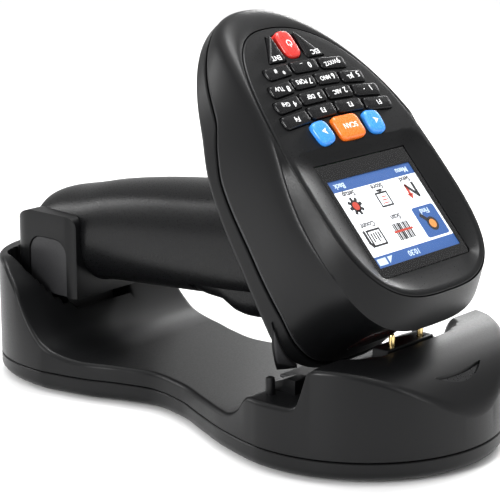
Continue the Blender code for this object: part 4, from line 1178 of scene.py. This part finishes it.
def legend(key, u, v, top):
    """Printed marks of one key."""
    name = key[0]
    turn = -key[5] if len(key) > 2 else 0.0
    size = bpy.context.scene.scanner_sizes.legend_size / MM
    level = top + 0.01
    if name in LEGENDS:
        big, small = LEGENDS[name]
        shift = {"key_enter": (2.2, -1.6), "key_escape": (2.2, 1.6)}.get(name, (0.0, 0.0))
        u, v = u + shift[0], v + shift[1]
        place = on_head(u, v, level, turn)
        if not small:
            marks = [lettering(name + "_text", big, size * (1.05 if name == "key_scan" else 1.0), ink(),
                               place)]
        else:
            marks = [lettering(name + "_text", big, size * 1.15, ink(),
                               place @ Matrix.Translation((-2.7 if len(small) > 1 else -2.0, 0, 0))),
                     lettering(name + "_small", small, size * 0.86, ink(),
                               place @ Matrix.Translation((1.7, 0, 0)))]
    elif name == "key_power":
        place = on_head(u, v, level)
        turns = np.linspace(math.radians(125), math.radians(415), 28)
        arc = [(1.35 * math.cos(a), 1.35 * math.sin(a)) for a in turns]
        arc += [(1.0 * math.cos(a), 1.0 * math.sin(a)) for a in turns[::-1]]
        marks = [solid(name + "_text", prism(arc, -0.03, 0.03), ink(), place),
                 solid(name + "_bar", box((-0.17, 0.17), (0.3, 1.7), (-0.03, 0.03)), ink(), place)]
    else:
        side = 1 if name == "key_right" else -1
        arrow = [(1.5 * side, 0.0), (-0.9 * side, 1.25), (-0.35 * side, 0.0), (-0.9 * side, -1.25)]
        marks = [solid(name + "_text", prism(arrow, -0.03, 0.03), ink(), on_head(u, v, level, turn))]
    fit(joined(name + "_legend", marks), name)


# ---------------------------------------------------------------- display

class HEAD_OT_display(bpy.types.Operator):
    """Display under its cover glass: title bar, status bar and six tiles"""
    bl_idname = "scanner.display"
    bl_label = "Display"

    def execute(self, context):
        start, end, half = WINDOW
        case = prism(rounded(rectangle(start + 3.0, end - 1.5, -half + 1, half - 1), 0.8), -6.0,
                     PICTURE_N - 0.1)
        module = solid("display_case", case,
                       coated("display black", (0.003, 0.003, 0.004), 0.25, depth=0.002), HEAD)
        fit(shade(module), "scanner", "screen", "display_module")
        pane = prism(rounded(rectangle(start + GAP, end - GAP, -half + GAP, half - GAP), 1.0), -0.36, -0.1)
        glass = solid("cover_glass", pane, tinted("cover glass", (0.01, 0.01, 0.012), 0.04), HEAD)
        fit(shade(glass), "scanner", "window_glass", "display_window")
        tall, wide = PICTURE
        outer = rectangle(start + GAP, end - GAP, -half + GAP, half - GAP)
        hole = rectangle(-tall / 2, tall / 2, -wide / 2, wide / 2)
        border = solid("glass_border", skin([[(*p, n) for p in line] for n, line in
                       ((-0.46, outer), (-0.38, outer), (-0.38, hole), (-0.46, hole))], wrap=True),
                       coated("border black", (0.002, 0.002, 0.0022), 0.12, depth=0.001,
                              rough_spread=0.02), HEAD)
        fit(border, "scanner", "window_glass")
        for name, coat, shapes in picture(context.scene.scanner_finish.picture_blue):
            place = on_head(0.0, 0.0, PICTURE_N)
            shapes = shapes if isinstance(shapes, list) else [shapes]
            drawn = [solid(name, shape, coat, place) for shape in shapes]
            fit(joined("picture_" + name, drawn), "scanner", "screen")
        fit(joined("picture_words", picture_words()), "scanner", "screen")
        return {"FINISHED"}


def plate(outline, layer):
    """Thin sheet of the picture on its layer."""
    return prism(outline, -0.1 if layer == 0 else 0.03 * layer - 0.02, 0.03 * layer + 0.01)


def stroke(points, width, layer, grow=1.35):
    """Line of the picture as short flat bars."""
    bars = []
    for a, b in zip(points, points[1:]):
        a, b = Vector(a), Vector(b)
        along = (b - a).normalized()
        side = Vector((-along.y, along.x)) * width * grow / 2
        a, b = a - along * width / 2, b + along * width / 2
        bars.append(plate([tuple(p) for p in (a - side, b - side, b + side, a + side)], layer))
    return bars


def closed(points):
    return list(points) + [points[0]]


TILE_X = (-15.3, 0.3, 15.6)
TILE_Y = (6.2, -6.8)


def picture(blue):
    """Flat sheets of the picture, x to the right and y up as it is read."""
    tall, wide = PICTURE
    bar = 4.3
    x0, x1, y0, y1 = -wide / 2, wide / 2, -tall / 2, tall / 2
    left, centre, right = TILE_X
    upper, lower = TILE_Y
    blue_sheets = [plate(rectangle(x0, x1, y1 - bar, y1), 1), plate(rectangle(x0, x1, y0, y0 + bar), 1),
                   plate(rounded(rectangle(left - 6.2, left + 6.0, upper - 6.4, upper + 5.6), 1.2, 4), 1)]
    black, red, white = [], [], []
    # magnifier on the chosen tile
    black += [plate(circle(2.7, 24, left - 0.4, upper + 0.8), 2)]
    black += stroke([(left + 1.2, upper - 0.9), (left + 3.2, upper - 3.0)], 1.2, 2)
    # bar code with its reading line
    for i, width in enumerate((0.8, 0.4, 0.9, 0.4, 0.6, 1.0, 0.4, 0.8, 0.5)):
        x = centre - 3.6 + i * 0.95
        black.append(plate(rectangle(x - width / 2, x + width / 2, upper - 2.9, upper + 3.5), 2))
    red.append(plate(rectangle(centre - 5.0, centre + 5.2, upper - 0.3, upper + 0.5), 3))
    # page of lines
    card = rectangle(right - 4.0, right + 2.6, upper - 3.0, upper + 2.8)
    black += stroke(closed(card), 0.55, 2)
    for i in range(4):
        x = right - 2.9 + i * 1.25
        black.append(plate(rectangle(x, x + 0.65, upper - 2.0, upper + 0.6 + (i % 2) * 0.9), 2))
    black += stroke([(right + 4.0, upper - 3.0), (right + 4.0, upper + 1.2), (right + 3.2, upper + 2.6)],
                    0.9, 2)
    # zig-zag with an arrow
    black += stroke([(left - 2.4, lower - 2.4), (left - 2.4, lower + 2.6), (left + 1.6, lower - 2.0)],
                    0.95, 2)
    red += stroke([(left + 1.6, lower - 2.0), (left + 1.6, lower + 1.6)], 0.95, 2)
    red.append(plate([(left + 0.1, lower + 1.2), (left + 3.1, lower + 1.2), (left + 1.6, lower + 3.6)], 2))
    # board with three marks
    parcel = rectangle(centre - 2.9, centre + 2.9, lower - 1.9, lower + 3.2)
    black += stroke(closed(parcel), 0.5, 2)
    black.append(plate(rectangle(centre - 1.5, centre + 1.5, lower - 3.3, lower - 2.5), 2))
    black.append(plate(rectangle(centre - 0.6, centre + 0.6, lower - 2.6, lower - 1.9), 2))
    for i in range(3):
        red += stroke([(centre - 1.6, lower + 2.1 - i * 1.2),
                       (centre + 1.6 - 0.5 * i, lower + 2.1 - i * 1.2)], 0.28, 2)
    # cog wheel
    for i in range(8):
        a = math.radians(45 * i + 12)
        black += stroke([(right + 1.6 * math.cos(a), lower + 0.4 + 1.6 * math.sin(a)),
                         (right + 3.0 * math.cos(a), lower + 0.4 + 3.0 * math.sin(a))], 0.95, 2)
    black.append(plate(circle(2.3, 24, right, lower + 0.4), 2))
    red.append(plate(circle(1.6, 20, right, lower + 0.4), 3))
    # battery and signal marks
    white.append(plate(rectangle(x1 - 5.6, x1 - 1.0, y1 - 3.4, y1 - 0.9), 2))
    white.append(plate([(x1 - 9.4, y1 - 3.4), (x1 - 6.6, y1 - 3.4), (x1 - 6.6, y1 - 0.9)], 2))
    orange = [plate(circle(1.7, 20, left - 0.4, upper + 0.8), 3)]
    glow = 0.45
    return [
        ("field", lit("picture white", (0.88, 0.90, 0.93), glow), plate(rectangle(x0, x1, y0, y1), 0)),
        ("bars", lit("picture blue", blue, glow), blue_sheets),
        ("dark_marks", lit("picture black", (0.012, 0.012, 0.014), 0.1), black),
        ("red_marks", lit("picture red", (0.42, 0.040, 0.022), glow * 0.6), red),
        ("orange_marks", lit("picture orange", (0.60, 0.22, 0.05), glow * 0.6), orange),
        ("light_marks", lit("picture pale", (0.46, 0.56, 0.68), glow), white),
    ]


def picture_words():
    """Generic words under the tiles and in the two bars."""
    grey = lit("picture grey", (0.05, 0.05, 0.055), 0.2)
    pale = lit("picture pale", (0.46, 0.56, 0.68), 0.45)
    words = [("Find", TILE_X[0], TILE_Y[0] - 4.4, pale), ("Scan", TILE_X[1], TILE_Y[0] - 5.2, grey),
             ("Count", TILE_X[2], TILE_Y[0] - 5.2, grey), ("Send", TILE_X[0], TILE_Y[1] - 4.5, grey),
             ("Store", TILE_X[1], TILE_Y[1] - 4.5, grey), ("Setup", TILE_X[2], TILE_Y[1] - 4.5, grey),
             ("10:30", 2.0, PICTURE[0] / 2 - 2.2, pale), ("Menu", -16.5, 2.2 - PICTURE[0] / 2, pale),
             ("Back", 17.5, 2.2 - PICTURE[0] / 2, pale)]
    made = []
    for text, x, y, coat in words:
        place = on_head(0.0, 0.0, PICTURE_N + 0.10) @ Matrix.Translation((x, y, 0))
        made.append(lettering("word", text, 2.9, coat, place, 0.02, 0.022))
    return made


class HEAD_OT_scan_window(bpy.types.Operator):
    """Scan window in the nose and the reading unit behind it"""
    bl_idname = "scanner.scan_window"
    bl_label = "Scan window"

    def execute(self, context):
        half, low, high = SCAN_WINDOW
        outline = rounded(rectangle(-half, half, low, high), 2.7)
        pane = solid("scan_pane", turned_to_x(outline, 27.0, 28.4),
                     tinted("red tinted pane", (0.10, 0.004, 0.003), 0.72),
                     HEAD)
        fit(soften(pane, 0.25, 3), "scanner", "window_glass", "scan_window")
        body = solid("reading_unit", box((9.0, 25.0), (-12, 12), (-40.0, -22.0)), panel_coat(), HEAD)
        soften(body, 0.6)
        eyes = [tube((23.0, v, -31.0), (26.0, v, -31.0), radius)
                for v, radius in ((-6.0, 3.2), (6.0, 3.2), (0.0, 1.8))]
        carve(body, eyes, place=HEAD)
        fit(body, "scanner", "panel_plastic", "scan_engine")
        return {"FINISHED"}


# ---------------------------------------------------------------- handle

def handle_rings(count, grow=0.0):
    knots = np.array(HANDLE)
    xs = np.concatenate([np.linspace(HANDLE[0][0], -80, 20), np.linspace(-78, 52, 60)])
    middle, tall, wide = (smooth(list(zip(knots[:, 0], knots[:, k])), xs) for k in (1, 2, 3))
    turns = np.linspace(0, 2 * math.pi, count, endpoint=False)
    rows = []
    for x, z, high, half in zip(xs, middle, tall, wide):
        across = (half + grow) * power_round(np.cos(turns), HANDLE_BULGE)
        up = z + (high + grow) * power_round(np.sin(turns), HANDLE_BULGE)
        rows.append(np.column_stack([np.full(count, x - (grow if x == xs[0] else 0.0)), across, up]))
    return rows


def head_blank():
    """Solid stand-in for the head's outside, used to end the handle where it meets the head."""
    count = 160
    edge = egg(SHELL_EGG, count, GAP)
    centre = np.array([SHELL_EGG[0], 0.0])
    rows = [ring(edge, 12.0), ring(edge, smooth(SHELL_LOW, edge[:, 0]))]
    for share in (0.985, 0.95, 0.90, 0.82, 0.72, 0.60, 0.45, 0.30, 0.12):
        plan = centre + (edge - centre) * share
        rows.append(ring(plan, keel_n(plan) - GAP))
    return skin(rows)


class HANDLE_OT_grip(bpy.types.Operator):
    """Handle with its cell bore, trigger slot and pin bore"""
    bl_idname = "scanner.handle_grip"
    bl_label = "Handle grip"

    def execute(self, context):
        grip = solid("handle_body", skin(handle_rings(144)), smooth_charcoal())
        shade(grip)
        carve(grip, head_blank(), place=HEAD)
        start, end, radius = BATTERY
        slope = (end[1] - start[1]) / (end[0] - start[0])
        rear = (-100.0, 0, start[1] + slope * (-100.0 - start[0]))
        front = (end[0] + 1.5, 0, end[1] + slope * 1.5)
        carve(grip, tube(rear, front, radius + 0.6))
        x0, x1, half, top = SLOT
        carve(grip, box((x0, x1), (-half, half), (28, top)))
        carve(grip, box((6, 22), (-4.5, 4.5), (50, 63)))
        carve(grip, tube((PIVOT[0], -16.1, PIVOT[1]), (PIVOT[0], 16.1, PIVOT[1]), 1.5, 32))
        fit(grip, "scanner", "charcoal_plastic", "handle_grip")
        return {"FINISHED"}


def arch(corners, grow=0.0, radius=6.0):
    """Outline that is square below and rounded above."""
    (x0, z0), (x1, _), (_, z1), _ = corners
    x0, x1, z1 = x0 - grow, x1 + grow, z1 + grow
    turns = np.linspace(0, math.pi / 2, 14)
    right = [(x1 - radius + radius * math.cos(a), z1 - radius + radius * math.sin(a)) for a in turns]
    left = [(x0 + radius - radius * math.sin(a), z1 - radius + radius * math.cos(a)) for a in turns]
    return [(x0, z0), (x1, z0)] + right + left


class HANDLE_OT_boot(bpy.types.Operator):
    """Boot on the end of the handle, with a grip pad let into each side"""
    bl_idname = "scanner.handle_boot"
    bl_label = "Handle boot"

    def execute(self, context):
        x0, x1, half, z0, z1 = BOOT
        rear = [(x0 + 11.0 - 11.0 * math.cos(a), z1 - 11.0 + 11.0 * math.sin(a))
                for a in np.linspace(0, math.pi / 2, 12)]
        front = [(x1 - 4.2 + 4.2 * math.sin(a), z1 - 4.2 + 4.2 * math.cos(a))
                 for a in np.linspace(0, math.pi / 2, 8)]
        side = [(x0, z0)] + rear + front + [(x1, z0)]
        made = solid("boot_cover", prism(side, -half, half, "Y"), charcoal())
        plan = rounded([(x0, -half), (x1 + 2.6, -half), (x1 + 2.6, half), (x0, half)], 8.0, 14)
        carve(made, prism(plan, z0 - 5, z1 + 5), "INTERSECT")
        soften(made, 1.3, 5, 40)
        carve(made, skin(handle_rings(96, GAP)))
        corners = [(-86.6, z0 - 1), (-67.2, z0 - 1), (-67.2, 53.2), (-86.6, 53.2)]
        for name, side in (("right", -1), ("left", 1)):
            outer = half * side
            levels = sorted((outer - 1.3 * side, outer + 1.3 * side))
            carve(made, prism(arch(corners, GAP), *levels, "Y"))
            low = [(-86.6, z0 + 0.4), (-67.2, z0 + 0.4), (-67.2, 53.2), (-86.6, 53.2)]
            levels = sorted((outer - 1.0 * side, outer - 0.3 * side))
            pad = solid("grip_pad_" + name, prism(arch(low), *levels, "Y"), rubber())
            fit(soften(pad, 0.15, 2), "scanner", "soft_rubber", "boot_grip_pad_" + name)
        fit(made, "scanner", "charcoal_plastic", "handle_boot")
        return {"FINISHED"}


def trigger_rings(count=72):
    """Cross-sections of the trigger: flat above, rounded below."""
    rows = []
    (start, _), (end, _) = TRIGGER_LINE[0], TRIGGER_LINE[-1]
    turn = np.linspace(0, math.pi, 45)
    xs = (start + end) / 2 - (end - start) / 2 * np.cos(turn)
    bottom = smooth(TRIGGER_LINE, xs)
    for x, low in zip(xs, bottom):
        angle = np.linspace(0, math.pi, count)
        y = -TRIGGER_HALF * power_round(np.cos(angle), 0.75)
        z = TRIGGER_TOP - (TRIGGER_TOP - low) * np.sin(angle) ** 0.75
        rows.append(np.column_stack([np.full(count, x), y, z]))
    return rows


class HANDLE_OT_trigger(bpy.types.Operator):
    """Trigger on its pin, with its return spring"""
    bl_idname = "scanner.trigger"
    bl_label = "Trigger"

    def execute(self, context):
        lever = solid("trigger_lever", skin(trigger_rings()), smooth_charcoal())
        soften(lever, 0.5, 3, 50)
        px, pz = PIVOT
        boss = prism([(16.5, TRIGGER_TOP - 3), (27.6, TRIGGER_TOP - 4.5), (27.6, 55.0), (20.5, 55.0),
                      (16.5, TRIGGER_TOP + 0.2)], -TRIGGER_HALF + 0.6, TRIGGER_HALF - 0.6, "Y")
        carve(lever, boss, "UNION")
        carve(lever, tube((px, -18, pz), (px, 18, pz), 1.6, 32))
        fit(lever, "trigger", "charcoal_plastic", "trigger")
        low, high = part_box("trigger_spring")
        middle, radius, wire = (low.x + high.x) / 2 / MM, 2.2, 0.35
        steps = np.linspace(0, 1, 97)
        coil = [(middle + radius * math.cos(8 * math.pi * t), radius * math.sin(8 * math.pi * t),
                 low.z / MM + wire + (high.z - low.z - 2 * wire * MM) / MM * t) for t in steps]
        spring = sweep("return_spring", coil, wire, steel(), "scanner", "steel", "trigger_spring", sides=10)
        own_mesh(spring)
        return {"FINISHED"}


class FRAME_OT_inner_parts(bpy.types.Operator):
    """Finishes of the inner pieces that keep their own shape"""
    bl_idname = "scanner.inner_parts"
    bl_label = "Inner parts"

    def execute(self, context):
        mask = coated("green solder mask", (0.012, 0.11, 0.035), 0.38, mottle=0.2, cloud=220.0, depth=0.01)
        wrap = coated("blue cell wrap", (0.03, 0.13, 0.42), 0.28, mottle=0.06, depth=0.004)
        finishes = {
            "main_circuit_board": mask, "cradle_circuit_board": mask, "battery": wrap, "keypad_mat": rubber(),
            "beeper": panel_coat(), "trigger_pin": steel(), "trigger_switch": panel_coat(),
        }
        for node, coat in finishes.items():
            obj = frame["nodes"][node]
            obj.data.materials.clear()
            obj.data.materials.append(coat)
        return {"FINISHED"}


# ---------------------------------------------------------------- stage

def soft_light(name, place, aim, size, power):
    light = bpy.data.lights.new(name, "AREA")
    light.shape = "RECTANGLE"
    light.size, light.size_y = size
    light.energy = power
    made = bpy.data.objects.new(name, light)
    made.location = place
    made.rotation_mode = "QUATERNION"
    made.rotation_quaternion = (Vector(aim) - Vector(place)).to_track_quat("-Z", "Y")
    bpy.context.scene.collection.objects.link(made)


class STAGE_OT_build(bpy.types.Operator):
    """Pale floor, soft lights and the camera"""
    bl_idname = "scanner.stage"
    bl_label = "Stage"

    def execute(self, context):
        settings = context.scene.scanner_stage
        scene = context.scene
        bpy.ops.mesh.primitive_plane_add(size=12.0, location=(0, 0, -0.0002))
        floor = context.object
        floor.name = "floor"
        floor.data.materials.append(coated("pale floor", (0.86, 0.86, 0.86), 0.6, mottle=0.01, grain=300.0))
        world = bpy.data.worlds.new("studio")
        world.use_nodes = True
        world.node_tree.nodes["Background"].inputs["Color"].default_value = (1.0, 1.0, 1.0, 1)
        world.node_tree.nodes["Background"].inputs["Strength"].default_value = 0.62
        scene.world = world
        scene.view_settings.view_transform = "Standard"
        power = settings.key_power
        soft_light("overhead light", (-0.05, 0.15, 0.75), (0.02, 0.0, 0.05), (0.50, 0.16), power * 0.45)
        soft_light("left light", (-0.80, -0.30, 0.40), (-0.02, 0.0, 0.06), (0.12, 0.45), power * 0.22)
        soft_light("right light", (0.80, 0.10, 0.30), (0.05, 0.0, 0.06), (0.12, 0.45), power * 0.16)
        soft_light("back light", (-0.25, 0.80, 0.40), (0.0, 0.0, 0.07), (0.60, 0.12), power * 0.4)
        soft_light("front light", (0.12, -0.95, 0.42), (0.05, 0.0, 0.05), (0.10, 0.35), power * 0.9)
        sun = bpy.data.objects.new("fill sun", bpy.data.lights.new("fill sun", "SUN"))
        sun.data.energy = 1.6
        sun.data.angle = math.radians(80)
        scene.collection.objects.link(sun)
        a, e = settings.azimuth, settings.elevation
        back = Vector((math.sin(a) * math.cos(e), -math.cos(a) * math.cos(e), math.sin(e)))
        lens = bpy.data.cameras.new("camera")
        lens.lens = settings.lens
        lens.sensor_width = 36.0
        lens.clip_start = 0.01
        camera = bpy.data.objects.new("camera", lens)
        camera.location = Vector((5.4, 0.0, 58.1)) * MM + back * settings.distance
        camera.rotation_mode = "QUATERNION"
        camera.rotation_quaternion = (-back).to_track_quat("-Z", "Y")
        scene.collection.objects.link(camera)
        scene.camera = camera
        return {"FINISHED"}


OPERATORS = [
    STAGE_OT_build, CRADLE_OT_top_shell, CRADLE_OT_base_plate, CRADLE_OT_fasteners, CRADLE_OT_contacts,
    CRADLE_OT_small_parts, HEAD_OT_upper_shell, HEAD_OT_lower_shell, HEAD_OT_face_panel, HEAD_OT_keys,
    HEAD_OT_display, HEAD_OT_scan_window, HANDLE_OT_grip, HANDLE_OT_boot, HANDLE_OT_trigger,
    FRAME_OT_inner_parts,
]
SETTINGS = {
    "scanner_cradle": CradleSettings, "scanner_sizes": ScannerSettings,
    "scanner_finish": FinishSettings, "scanner_stage": StageSettings,
}


class SCANNER_PT_panel(bpy.types.Panel):
    """Settings and pieces of the scanner"""
    bl_idname = "SCANNER_PT_panel"
    bl_label = "Scanner and cradle"
    bl_space_type = "VIEW_3D"
    bl_region_type = "UI"
    bl_category = "Scanner"

    def draw(self, context):
        for label, kind in SETTINGS.items():
            box_area = self.layout.box()
            for name in kind.__annotations__:
                box_area.prop(getattr(context.scene, label), name)
        for operator in OPERATORS:
            self.layout.operator(operator.bl_idname)


def register():
    for kind in SETTINGS.values():
        bpy.utils.register_class(kind)
    for label, kind in SETTINGS.items():
        setattr(bpy.types.Scene, label, PointerProperty(type=kind))
    for operator in OPERATORS:
        bpy.utils.register_class(operator)
    bpy.utils.register_class(SCANNER_PT_panel)


def unregister():
    bpy.utils.unregister_class(SCANNER_PT_panel)
    for operator in reversed(OPERATORS):
        bpy.utils.unregister_class(operator)
    for label in SETTINGS:
        delattr(bpy.types.Scene, label)
    for kind in SETTINGS.values():
        bpy.utils.unregister_class(kind)


def main():
    register()
    for operator in OPERATORS:
        group, name = operator.bl_idname.split(".")
        getattr(getattr(bpy.ops, group), name)()
    bpy.context.view_layer.update()


if __name__ == "__main__":
    main()
